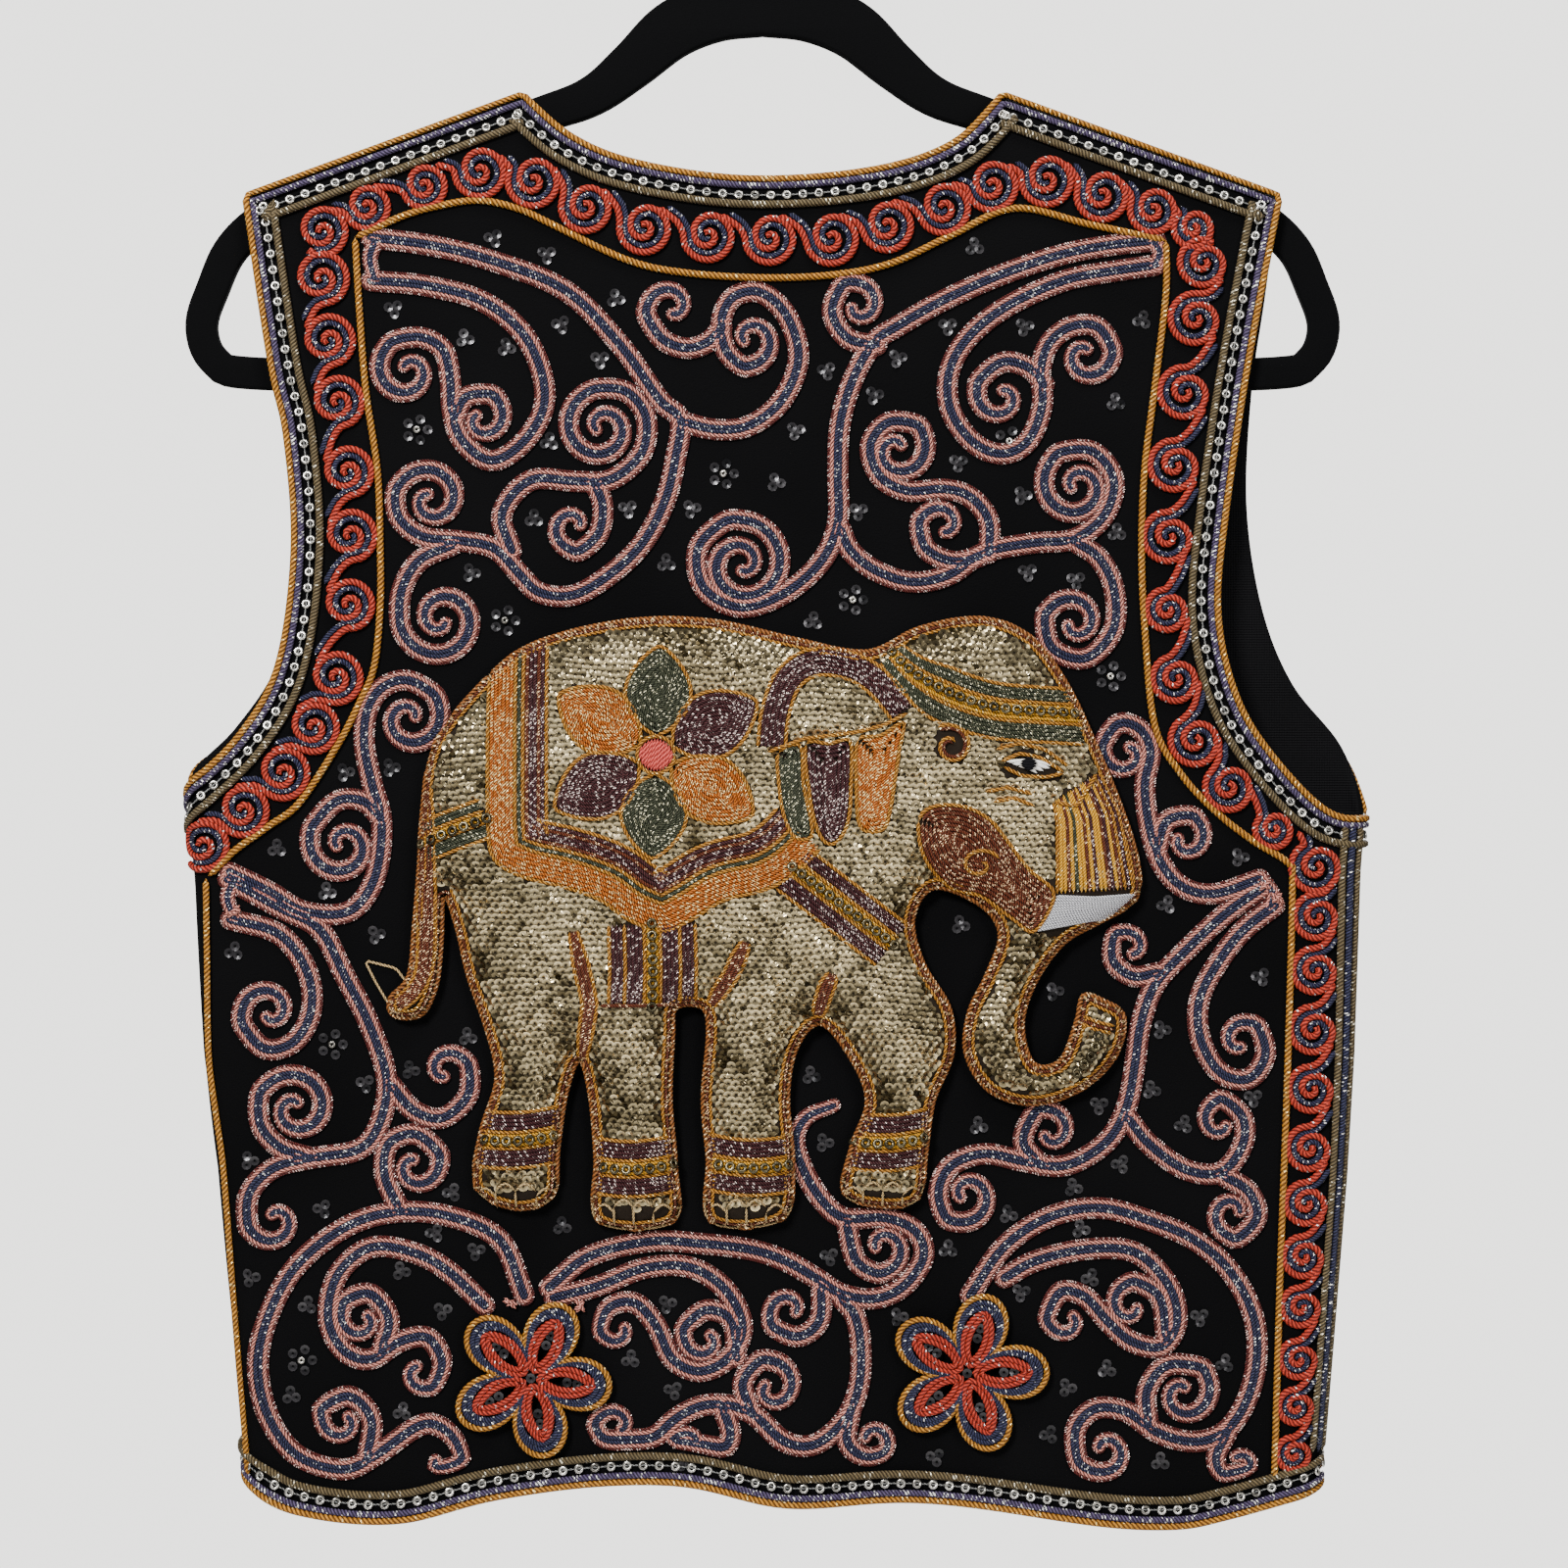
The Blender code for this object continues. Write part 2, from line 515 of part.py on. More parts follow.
def hanger(parts):
    flock = material("black_flock", (0.008, 0.008, 0.009), 0.95)
    steel = material("bright_steel", (0.62, 0.62, 0.64), 0.25, 1.0)
    half = smooth_line(HANGER_BAR)
    half = along(half, np.linspace(0, line_length(half)[-1], HANGER_SAMPLES + 1))
    mirrored = half[1:-1][::-1] * (-1, 1, 1)
    loop = np.vstack([half, mirrored])
    heading = np.roll(loop[:, :2], -1, axis=0) - np.roll(loop[:, :2], 1, axis=0)
    heading /= np.linalg.norm(heading, axis=1)[:, None]
    outward = np.column_stack([-heading[:, 1], heading[:, 0]])
    shape = bpy.data.curves.new("hanger_frame", "CURVE")
    shape.dimensions = "2D"
    shape.fill_mode = "BOTH"
    shape.extrude = HANGER_HALF_THICKNESS - HANGER_EDGE_ROUND
    shape.bevel_depth = HANGER_EDGE_ROUND
    shape.bevel_resolution = 0
    for way in (1, -1):
        bar = loop[:, 2:3] - HANGER_EDGE_ROUND
        add_spline(shape, loop[:, :2] + way * bar * outward, True)
    solid_from_curve("hanger_frame", shape, flock, parts)

    wire = bpy.data.curves.new("hanger_hook", "CURVE")
    wire.dimensions = "3D"
    wire.bevel_depth = HOOK_WIRE
    wire.bevel_resolution = 2
    wire.use_fill_caps = True
    radius = HOOK_INSIDE_RADIUS + HOOK_WIRE
    foot = HANGER_BAR[0].height + HANGER_BAR[0].half_width + SEAM_GAP
    bend = [(radius * math.cos(angle), -HOOK_INSIDE_RADIUS + radius * math.sin(angle))
            for angle in np.radians(np.arange(-45, 196, 20))]
    route = smooth_line([(0, foot), (0, foot + 10 * MM), (0.5 * MM, HOOK_STEM_BEND)] + bend, per_span=2)
    add_spline(wire, route, False)
    solid_from_curve("hanger_hook", wire, steel, parts)


def main():
    for piece in list(bpy.data.objects):
        bpy.data.objects.remove(piece)
    parts = bpy.data.collections.new("embroidered_folk_vest")
    bpy.context.scene.collection.children.link(parts)
    velvet = material("black_velvet", (0.012, 0.011, 0.013), 0.95)
    cords = material("edge_cords", (0.40, 0.28, 0.12), 0.7)
    panel("back_panel", -1, back_grid(), velvet, cords, parts, "back_edge_cords")
    panel("front_left_panel", 1, front_grid(-1), velvet, cords, parts, "front_left_edge_cords", open_side=True)
    panel("front_right_panel", 1, front_grid(1), velvet, cords, parts, "front_right_edge_cords", open_side=True)
    elephant(parts)
    flowers(parts)
    hanger(parts)


main()
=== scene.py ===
import math

import bmesh
import bpy
import numpy as np
from mathutils import Matrix, Vector, geometry


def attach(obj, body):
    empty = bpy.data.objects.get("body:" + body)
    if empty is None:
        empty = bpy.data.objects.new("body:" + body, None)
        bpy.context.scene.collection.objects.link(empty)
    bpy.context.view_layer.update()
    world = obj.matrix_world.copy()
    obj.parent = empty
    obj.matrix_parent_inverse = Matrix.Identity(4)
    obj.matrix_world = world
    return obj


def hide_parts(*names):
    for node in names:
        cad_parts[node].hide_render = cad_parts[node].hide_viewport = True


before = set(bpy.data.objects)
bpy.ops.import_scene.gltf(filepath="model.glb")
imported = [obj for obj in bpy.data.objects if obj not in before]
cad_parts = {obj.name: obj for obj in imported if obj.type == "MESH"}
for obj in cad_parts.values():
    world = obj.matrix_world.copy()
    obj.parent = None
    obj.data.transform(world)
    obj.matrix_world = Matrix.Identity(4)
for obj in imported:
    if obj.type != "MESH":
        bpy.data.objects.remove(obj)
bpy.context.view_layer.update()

rng = np.random.default_rng(7)
mm = 0.001

# Couched routes are placed by the photo's pixels (1600 wide), at their real size
photoScale = 0.378 * mm
photoCentre = 778
photoHook = -216


def spot(px, py):
    return ((px - photoCentre) * photoScale, -(py - photoHook) * photoScale)


def spots(*pixels):
    return np.array([spot(px, py) for px, py in pixels])


def intoScene(thing):
    bpy.context.scene.collection.objects.link(thing)


# Lines on the cloth, in metres: across and height

def smoothLine(points, closed=False, perSpan=8):
    nodes = np.array(points, dtype=float)
    if closed:
        padded = np.vstack([nodes[-1], nodes, nodes[0], nodes[1]])
    else:
        padded = np.vstack([2 * nodes[0] - nodes[1], nodes, 2 * nodes[-1] - nodes[-2]])
    steps = np.linspace(0, 1, perSpan, endpoint=False)[:, None]
    line = []
    for a, b, c, d in zip(padded, padded[1:], padded[2:], padded[3:]):
        line.append(b + 0.5 * steps * (c - a) + steps ** 2 * (a - 2.5 * b + 2 * c - 0.5 * d)
                    + steps ** 3 * (1.5 * (b - c) + 0.5 * (d - a)))
    if not closed:
        line.append(nodes[-1:])
    return np.vstack(line)


def lineLength(line):
    steps = np.linalg.norm(np.diff(line, axis=0), axis=1)
    return np.concatenate([[0.0], np.cumsum(steps)])


def along(line, distances):
    reached = lineLength(line)
    return np.column_stack([np.interp(distances, reached, column) for column in line.T])


def evenly(line, step):
    end = lineLength(line)[-1]
    return along(line, np.linspace(0, end, max(2, int(round(end / step)) + 1)))


# The line moved sideways, to its left, with mitred corners
def shifted(line, distance, closed=False):
    if closed:
        before, after = np.roll(line, 1, axis=0), np.roll(line, -1, axis=0)
    else:
        before = np.vstack([2 * line[0] - line[1], line[:-1]])
        after = np.vstack([line[1:], 2 * line[-1] - line[-2]])
    into, out = line - before, after - line
    into /= np.maximum(np.linalg.norm(into, axis=1), 1e-9)[:, None]
    out /= np.maximum(np.linalg.norm(out, axis=1), 1e-9)[:, None]
    left = np.column_stack([-(into + out)[:, 1], (into + out)[:, 0]])
    size = np.maximum(np.linalg.norm(left, axis=1), 1e-9)
    mitre = np.clip(2 / size, 1, 1.6)
    return line + left / size[:, None] * mitre[:, None] * np.reshape(distance, (-1, 1))


# A loop that keeps a distance from an open line, with round ends
def ringRound(line, distance, tipSteps=6):
    distance = np.broadcast_to(distance, len(line))
    left, right = shifted(line, distance), shifted(line, -distance)
    caps = []
    for last, before in ((-1, -2), (0, 1)):
        heading = line[last] - line[before]
        turn = math.atan2(heading[1], heading[0])
        angles = turn + np.linspace(math.pi / 2, -math.pi / 2, tipSteps + 2)[1:-1]
        caps.append(line[last] + distance[last] * compass(angles))
    return np.vstack([left, caps[0], right[::-1], caps[1]])


# Which places lie within a closed outline
def inside(outline, places):
    start, end = outline[None], np.roll(outline, -1, axis=0)[None]
    places = np.atleast_2d(places)[:, None]
    crosses = (start[..., 1] > places[..., 1]) != (end[..., 1] > places[..., 1])
    rise = np.where(crosses, end[..., 1] - start[..., 1], 1.0)
    reached = start[..., 0] + (places[..., 1] - start[..., 1]) / rise * (end[..., 0] - start[..., 0])
    return np.count_nonzero(crosses & (places[..., 0] < reached), axis=1) % 2 == 1


# Steps of length one at one or more angles
def compass(angle):
    return np.stack([np.cos(angle), np.sin(angle)], axis=-1)


# How far each place lies from a closed outline
def edgeDistance(outline, places):
    closest = np.full(len(places), 1.0)
    for start, way in zip(outline, np.roll(outline, -1, axis=0) - outline):
        share = np.clip(((places - start) @ way) / max(way @ way, 1e-12), 0, 1)
        closest = np.minimum(closest, np.linalg.norm(start + share[:, None] * way - places, axis=1))
    return closest


# The hung vest: the same named sizes as its solids

vest = {
    "wall": 2.0 * mm, "seamGap": 0.3 * mm, "appliqueGap": 0.4 * mm,
    "neckPoint": (92 * mm, -117 * mm), "shoulderTip": (201 * mm, -157 * mm),
    "underarm": -396 * mm, "openingTop": -290 * mm, "halfOpening": 4 * mm,
    "backNeck": [(-73, -133), (-48, -143), (-6, -149), (40, -146), (72, -136)],
    "frontNeck": [(72, -165), (42, -222)],
    "armholes": {
        (-1, -1): [(223, -384.5), (203, -365), (188, -338), (182, -293), (185, -250), (191, -222)],
        (-1, 1): [(219, -394), (198, -373), (184, -350), (177, -318), (180, -280), (189, -220)],
        (1, -1): [(224, -381), (206, -362), (189, -335), (179, -290), (181, -245), (190, -205)],
        (1, 1): [(226, -369), (207, -345), (195, -315), (189, -275), (191, -230), (196, -195)],
    },
    "hems": {
        -1: [(-240, -644), (-205, -652), (-180, -664), (-140, -667), (-100, -659), (-35, -653),
             (10, -661), (60, -661), (145, -669), (180, -666), (235, -650)],
        1: [(-240, -644), (-150, -653), (0, -650), (150, -656), (235, -650)],
    },
    "foldTop": -560 * mm, "foldDepth": 5 * mm, "foldPitch": 146 * mm, "foldCrest": -150 * mm,
    "bandWidth": 12.5 * mm,
}
# height, left reach, right reach, how far the back wraps the left edge, half depth (all in mm)
rings = np.array([
    (-667, 198, 214, 24, 12.0), (-535, 210.5, 225, 18, 10.0), (-489, 216, 228, 14, 9.0),
    (-418, 220, 231, 11, 7.5), (-396, 222, 233, 9, 7.0), (-240, 222, 233, 9, 5.4), (-100, 222, 233, 9, 5.0),
]) * mm


def ringAt(height):
    return [np.interp(height, rings[:, 0], column) for column in rings[:, 1:].T]


def toShoulderSeam(across, height):
    start = np.array(vest["neckPoint"])
    run = np.array(vest["shoulderTip"]) - start
    place = np.stack([np.abs(across), height], axis=-1)
    share = np.clip(((place - start) @ run) / (run @ run), 0, 1)
    offset = start + share[..., None] * run - place
    distance = np.linalg.norm(offset, axis=-1)
    upright = np.array([-run[1], run[0]]) / np.linalg.norm(run)
    near = (distance > 0.2 * mm)[..., None]
    toward = np.where(near, offset / np.maximum(distance, 1e-9)[..., None], upright)
    toward[..., 0] *= np.where(across < 0, -1, 1)
    return distance, toward


def fold(layer, across, height, reach):
    growth = np.clip((vest["foldTop"] - height) / (vest["foldTop"] - rings[0, 0]), 0, 1) ** 1.5
    window = np.clip(1 - (np.abs(across) / reach) ** 4, 0, 1)
    phase = vest["foldCrest"] if layer < 0 else -vest["foldCrest"] / 3
    depth = vest["foldDepth"] if layer < 0 else vest["foldDepth"] / 2
    return depth * growth * window * np.cos(2 * math.pi * (across - phase) / vest["foldPitch"])


# Points on the back (-1) or front (+1) layer, lifted off its middle, and the way out of the cloth
def cloth(layer, across, height, lift):
    across, height = np.asarray(across, dtype=float), np.asarray(height, dtype=float)
    leftReach, rightReach, _, depth = ringAt(height)
    side = np.where(across < 0, -1.0, 1.0)
    reach = np.where(across < 0, leftReach, rightReach)
    flat = reach - depth
    distance = np.abs(across)
    turn = np.clip((distance - flat) / depth, 0, math.pi)
    past = np.maximum(distance - flat - math.pi * depth, 0)
    x = side * (np.minimum(distance, flat) + depth * np.sin(turn) - past)
    y = layer * depth * np.cos(turn)
    normal = np.stack([side * np.sin(turn), layer * np.cos(turn), np.zeros_like(x)], axis=-1)
    seamDistance, toward = toShoulderSeam(across, height)
    lean = np.clip(1 - seamDistance / depth, 0, 1)
    upright = np.sqrt(1 - lean ** 2)
    gap = layer * vest["seamGap"] / 2
    y = gap + (y - gap) * upright
    over = np.stack([toward[..., 0], np.zeros_like(x), toward[..., 1]], axis=-1)
    normal = normal * upright[..., None] + over * lean[..., None]
    y = y + layer * fold(layer, x, height, reach)
    lift = np.broadcast_to(lift, x.shape)
    return np.stack([x, y, height], axis=-1) + normal * lift[..., None], normal


def seamAcross(layer, side, height):
    leftReach, rightReach, leftWrap, depth = ringAt(height)
    reach = leftReach if side < 0 else rightReach
    wrap = leftWrap if side < 0 else 0.0
    return side * (reach - depth + math.pi * depth / 2 - layer * wrap - vest["seamGap"] / 2)


def hemHeight(layer, across):
    line = smoothLine(np.array(vest["hems"][layer]) * mm)
    return np.interp(across, line[:, 0], line[:, 1])


def seamLine(layer, side, step):
    foot = hemHeight(layer, seamAcross(layer, side, rings[0, 0]))
    count = max(2, int((vest["underarm"] - foot) / step))
    heights = np.linspace(foot, vest["underarm"], count)
    return np.column_stack([seamAcross(layer, side, heights), heights])


def armholeLine(layer, side, step):
    points = np.array(vest["armholes"][(layer, side)]) * mm * (side, 1)
    start = (seamAcross(layer, side, vest["underarm"]), vest["underarm"])
    tip = (side * vest["shoulderTip"][0], vest["shoulderTip"][1])
    return evenly(smoothLine(np.vstack([start, points, tip])), step)


def shoulderLine(side, step):
    tip = np.array(vest["shoulderTip"]) * (side, 1)
    point = np.array(vest["neckPoint"]) * (side, 1)
    return evenly(np.vstack([tip, point]), step)


def neckLine(layer, side, step):
    left = np.array(vest["neckPoint"]) * (-1, 1)
    if layer < 0:
        points = np.vstack([left, np.array(vest["backNeck"]) * mm, vest["neckPoint"]])
    else:
        centre = (side * vest["halfOpening"], vest["openingTop"])
        low = (np.array(vest["frontNeck"]) * mm * (side, 1))[::-1]
        points = np.vstack([centre, low, left * (-side, 1)])
    return evenly(smoothLine(points), step)


def patch(left, right, bottom, top):
    rows = lineLength(left) + lineLength(right)
    rows = (rows / rows[-1])[:, None, None]
    columns = lineLength(top) + lineLength(bottom)
    columns = (columns / columns[-1])[None, :, None]
    ruledUp = (1 - rows) * bottom[None] + rows * top[None]
    ruledOver = (1 - columns) * left[:, None] + columns * right[:, None]
    corners = ((1 - rows) * ((1 - columns) * bottom[0] + columns * bottom[-1])
               + rows * ((1 - columns) * top[0] + columns * top[-1]))
    return ruledUp + ruledOver - corners


# A line with a set number of points that crowd towards its end
def spread(line, count):
    share = np.linspace(0, 1, count)
    share = share + 0.12 * np.sin(math.pi * share) * share
    return along(line, share * lineLength(line)[-1])


# Shader maths

# A shader value that plain Python operators work on
class Wire:

    def __init__(self, net, socket):
        self.net = net
        self.socket = socket

    def maths(self, operation, first, second):
        return self.net.add("ShaderNodeMath", {"operation": operation}, {0: first, 1: second})

    def __add__(self, other):
        return self.maths("ADD", self, other)

    def __sub__(self, other):
        return self.maths("SUBTRACT", self, other)

    def __rsub__(self, other):
        return self.maths("SUBTRACT", other, self)

    def __mul__(self, other):
        return self.maths("MULTIPLY", self, other)

    def __gt__(self, other):
        return self.maths("GREATER_THAN", self, other)

    def __lt__(self, other):
        return self.maths("LESS_THAN", self, other)

    def sine(self):
        return self.net.add("ShaderNodeMath", {"operation": "SINE"}, {0: self})

    def size(self):
        return self.net.add("ShaderNodeMath", {"operation": "ABSOLUTE"}, {0: self})

    __radd__ = __add__
    __rmul__ = __mul__


# One material's nodes
class Net:

    def __init__(self, name):
        self.material = bpy.data.materials.new(name)
        self.material.use_nodes = True
        self.tree = self.material.node_tree
        self.shader = self.tree.nodes["Principled BSDF"]

    def add(self, kind, settings=None, values=None, output=0):
        node = self.tree.nodes.new(kind)
        for name, setting in (settings or {}).items():
            setattr(node, name, setting)
        self.fill(node, values or {})
        return Wire(self, node.outputs[output])

    def fill(self, node, values):
        for name, value in values.items():
            if isinstance(value, Wire):
                self.tree.links.new(value.socket, node.inputs[name])
            else:
                node.inputs[name].default_value = value

    def finish(self, **values):
        self.fill(self.shader, {name.replace("_", " "): value for name, value in values.items()})
        return self.material

    def mix(self, factor, first, second):
        return self.add("ShaderNodeMix", {"data_type": "RGBA"}, {0: factor, 6: first, 7: second},
                        output=2)

    def noise(self, place, scale, detail=2.0):
        return self.add("ShaderNodeTexNoise", None, {"Vector": place, "Scale": scale, "Detail": detail})

    def bump(self, height, distance, strength=1.0):
        return self.add("ShaderNodeBump", None, {"Height": height, "Distance": distance,
                                                 "Strength": strength})

    def objectPlace(self):
        return self.add("ShaderNodeTexCoord", output="Object")

    def uvParts(self):
        place = self.add("ShaderNodeTexCoord", output="UV")
        parts = self.tree.nodes.new("ShaderNodeSeparateXYZ")
        self.tree.links.new(place.socket, parts.inputs[0])
        return place, Wire(self, parts.outputs[0]), Wire(self, parts.outputs[1])


def colour(red, green, blue):
    return (red, green, blue, 1.0)


def velvetFinish():
    net = Net("black_velvet_pile")
    place = net.objectPlace()
    nap = net.noise(place, 14.0)
    pile = net.noise(place, 1500.0)
    base = net.mix(nap, colour(0.0008, 0.0008, 0.0009), colour(0.0026, 0.0025, 0.0028))
    return net.finish(Base_Color=base, Roughness=0.95, Sheen_Weight=0.02, Sheen_Roughness=0.35,
                      Sheen_Tint=colour(0.5, 0.5, 0.56), Specular_IOR_Level=0.05,
                      Normal=net.bump(pile, 0.0004, 0.7))


def liningFinish():
    net = Net("black_plain_lining")
    place = net.objectPlace()
    warp = net.add("ShaderNodeTexWave", {"bands_direction": "X"},
                   {"Vector": place, "Scale": 320.0, "Distortion": 0.6})
    weft = net.add("ShaderNodeTexWave", {"bands_direction": "Z"},
                   {"Vector": place, "Scale": 320.0, "Distortion": 0.6})
    base = net.mix(net.noise(place, 30.0), colour(0.0012, 0.0012, 0.0014), colour(0.0030, 0.0028, 0.0034))
    return net.finish(Base_Color=base, Roughness=0.85, Specular_IOR_Level=0.08,
                      Normal=net.bump(warp + weft, 0.0002))


yarn = {"strands": 4, "rough": 0.6, "fleckRough": 0.25, "gloss": 0.2, "relief": 0.6 * mm}


# Twisted yarn: u runs in metres along the cord and v once round it
def cordFinish(name, light, dark, pitch, fleck=0.0, fleckColour=(0.85, 0.83, 0.80), cell=0.55):
    net = Net(name)
    place, run, girth = net.uvParts()
    turn = run * (2 * math.pi / (pitch * mm)) + girth * (math.pi * yarn["strands"])
    ply = turn.sine().size()
    fuzz = net.noise(net.objectPlace(), 1500.0)
    # Painted shade: the dark colour goes into the creases between the plies and the light colour onto their
    # crests, with fibre fuzz mixed in
    fuzzAndPlyShade = ply * 1.15 + fuzz * 0.35 - 0.4
    if not fleck:
        base = net.mix(fuzzAndPlyShade, colour(*dark), colour(*light))
        return net.finish(Base_Color=base, Roughness=yarn["rough"], Specular_IOR_Level=yarn["gloss"],
                          Normal=net.bump(ply + fuzz * 0.4, yarn["relief"]))
    stretch = net.add("ShaderNodeVectorMath", {"operation": "MULTIPLY"},
                      {0: place, 1: (1 / (cell * mm), 5.0, 1.0)})
    cells = net.add("ShaderNodeTexWhiteNoise", {"noise_dimensions": "2D"},
                    {"Vector": net.add("ShaderNodeVectorMath", {"operation": "FLOOR"}, {0: stretch})})
    # the same painted crease shade, times a random tone for each cell
    base = net.mix(fuzzAndPlyShade * (cells * 0.6 + 0.5), colour(*dark), colour(*light))
    shine = (cells < fleck) * (ply > 0.5)
    return net.finish(Base_Color=net.mix(shine, base, colour(*fleckColour)), Metallic=shine * 0.5,
                      Roughness=yarn["rough"] - shine * (yarn["rough"] - yarn["fleckRough"]),
                      Specular_IOR_Level=yarn["gloss"], Normal=net.bump(ply + fuzz * 0.3, yarn["relief"]))


def sequinFinish(name, light, dark, metallic, rough):
    net = Net(name)
    tone = net.add("ShaderNodeAttribute", {"attribute_name": "tone"}, output="Fac")
    rim = net.add("ShaderNodeAttribute", {"attribute_name": "rim"}, output="Fac")
    # Painted shade and highlight: where the rim attribute falls from rim to hole the colour darkens, and
    # the tone also carries any painted shade given to it
    base = net.mix(tone * (rim * 0.75 + 0.25), colour(*dark), colour(*light))
    grain = net.noise(net.objectPlace(), 700.0)
    return net.finish(Base_Color=base, Metallic=metallic, Roughness=grain * 0.22 + rough,
                      Normal=net.bump(grain, 0.0002, 0.5))


def plainFinish(name, base, rough, metallic=0.0, grainScale=600.0, sheen=0.0, gloss=0.5):
    net = Net(name)
    grain = net.noise(net.objectPlace(), grainScale, 3.0)
    tone = net.mix(grain, colour(*[part * 0.7 for part in base]),
                   colour(*[min(1, part * 1.25) for part in base]))
    return net.finish(Base_Color=tone, Roughness=rough, Metallic=metallic, Sheen_Weight=sheen,
                      Sheen_Roughness=0.4, Specular_IOR_Level=gloss, Normal=net.bump(grain, 0.0003, 0.6))


# name, lit and shaded colour, pitch in mm, share of metal flecks, their colour and length in mm
cords = {
    "gold": ("gold_twist", (0.52, 0.225, 0.020), (0.09, 0.026, 0.003), 3.8, 0.06, (0.95, 0.66, 0.22)),
    "orange": ("orange_red_twist", (0.52, 0.045, 0.020), (0.10, 0.006, 0.004), 3.6, 0.02),
    "navy": ("navy_twist", (0.030, 0.032, 0.076), (0.003, 0.003, 0.009), 2.4, 0.08),
    "pink": ("pink_two_ply", (0.70, 0.27, 0.205), (0.045, 0.006, 0.006), 3.6),
    "maroon": ("maroon_tinsel", (0.13, 0.018, 0.014), (0.012, 0.002, 0.002), 2.0, 0.26,
               (0.85, 0.60, 0.54)),
    "purpleGrey": ("purple_grey_tinsel", (0.085, 0.062, 0.125), (0.018, 0.013, 0.030), 2.8, 0.16),
    "olive": ("olive_twist", (0.135, 0.098, 0.045), (0.032, 0.022, 0.010), 2.8, 0.08, (0.75, 0.68, 0.50)),
    "marigold": ("marigold_floss", (0.56, 0.150, 0.010), (0.12, 0.015, 0.001), 2.4, 0.34,
                 (1.0, 0.66, 0.26), 0.95),
    "yellow": ("yellow_floss", (0.72, 0.37, 0.022), (0.42, 0.18, 0.010), 2.4, 0.06, (1.0, 0.75, 0.30),
               0.9),
    "green": ("grey_green_tinsel", (0.050, 0.055, 0.028), (0.010, 0.012, 0.006), 2.2, 0.20,
              (0.72, 0.68, 0.45), 0.85),
    "plum": ("plum_tinsel", (0.070, 0.016, 0.017), (0.010, 0.002, 0.003), 2.2, 0.24, (0.84, 0.66, 0.60),
             0.85),
    "brown": ("copper_brown_tinsel", (0.150, 0.032, 0.009), (0.030, 0.005, 0.002), 2.2, 0.24,
              (0.92, 0.58, 0.32), 0.85),
    "white": ("white_floss", (0.80, 0.79, 0.80), (0.20, 0.20, 0.23), 2.2),
    "silver": ("silver_thread", (0.42, 0.42, 0.40), (0.12, 0.12, 0.12), 3.0),
    "bronze": ("bronze_twist", (0.30, 0.105, 0.020), (0.065, 0.018, 0.004), 3.6, 0.14,
               (0.95, 0.66, 0.34)),
    "cream": ("cream_gold_thread", (0.66, 0.48, 0.23), (0.28, 0.16, 0.06), 3.0),
    "coral": ("coral_floss", (0.66, 0.095, 0.075), (0.34, 0.030, 0.026), 4.0),
}
finishes = {key: cordFinish(*values) for key, values in cords.items()}
finishes.update({
    "velvet": velvetFinish(),
    "lining": liningFinish(),
    "pupil": plainFinish("black_floss", (0.002, 0.002, 0.003), 0.8, gloss=0.1),
    "stuffing": plainFinish("dark_backing_cloth", (0.012, 0.008, 0.005), 0.9, gloss=0.1),
    "sequin": sequinFinish("champagne_sequins", (0.86, 0.70, 0.40), (0.050, 0.036, 0.014), 0.9, 0.14),
    "bead": sequinFinish("silver_ring_beads", (0.78, 0.75, 0.68), (0.16, 0.15, 0.13), 0.9, 0.12),
    "oliveBead": sequinFinish("olive_ring_beads", (0.14, 0.115, 0.060), (0.010, 0.008, 0.005), 0.8, 0.12),
    "smoke": sequinFinish("smoky_sequins", (0.055, 0.051, 0.054), (0.004, 0.004, 0.005), 0.5, 0.16),
    "flock": plainFinish("black_flock_coat", (0.0016, 0.0016, 0.0018), 0.97, grainScale=2200.0,
                         sheen=0.04, gloss=0.05),
    "steel": plainFinish("polished_steel_wire", (0.62, 0.62, 0.64), 0.22, metallic=1.0, grainScale=90.0),
    "eyeWhite": plainFinish("eye_white_floss", (0.70, 0.68, 0.62), 0.5),
})
print("finishes ready")


# Making pieces

def keep(name, mesh, *materials):
    piece = bpy.data.objects.new(name, mesh)
    intoScene(piece)
    mesh.materials.clear()
    for finish in materials:
        mesh.materials.append(finishes[finish])
    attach(piece, "root")
    return piece


def meshOf(work, name):
    mesh = bpy.data.meshes.new(name)
    work.to_mesh(mesh)
    work.free()
    return mesh


def setPoints(mesh, points):
    mesh.vertices.foreach_set("co", np.ascontiguousarray(points, dtype=np.float32).ravel())


def weld(mesh, distance=1e-6):
    work = bmesh.new()
    work.from_mesh(mesh)
    bmesh.ops.remove_doubles(work, verts=work.verts[:], dist=distance)
    work.to_mesh(mesh)
    work.free()
    mesh.shade_smooth()


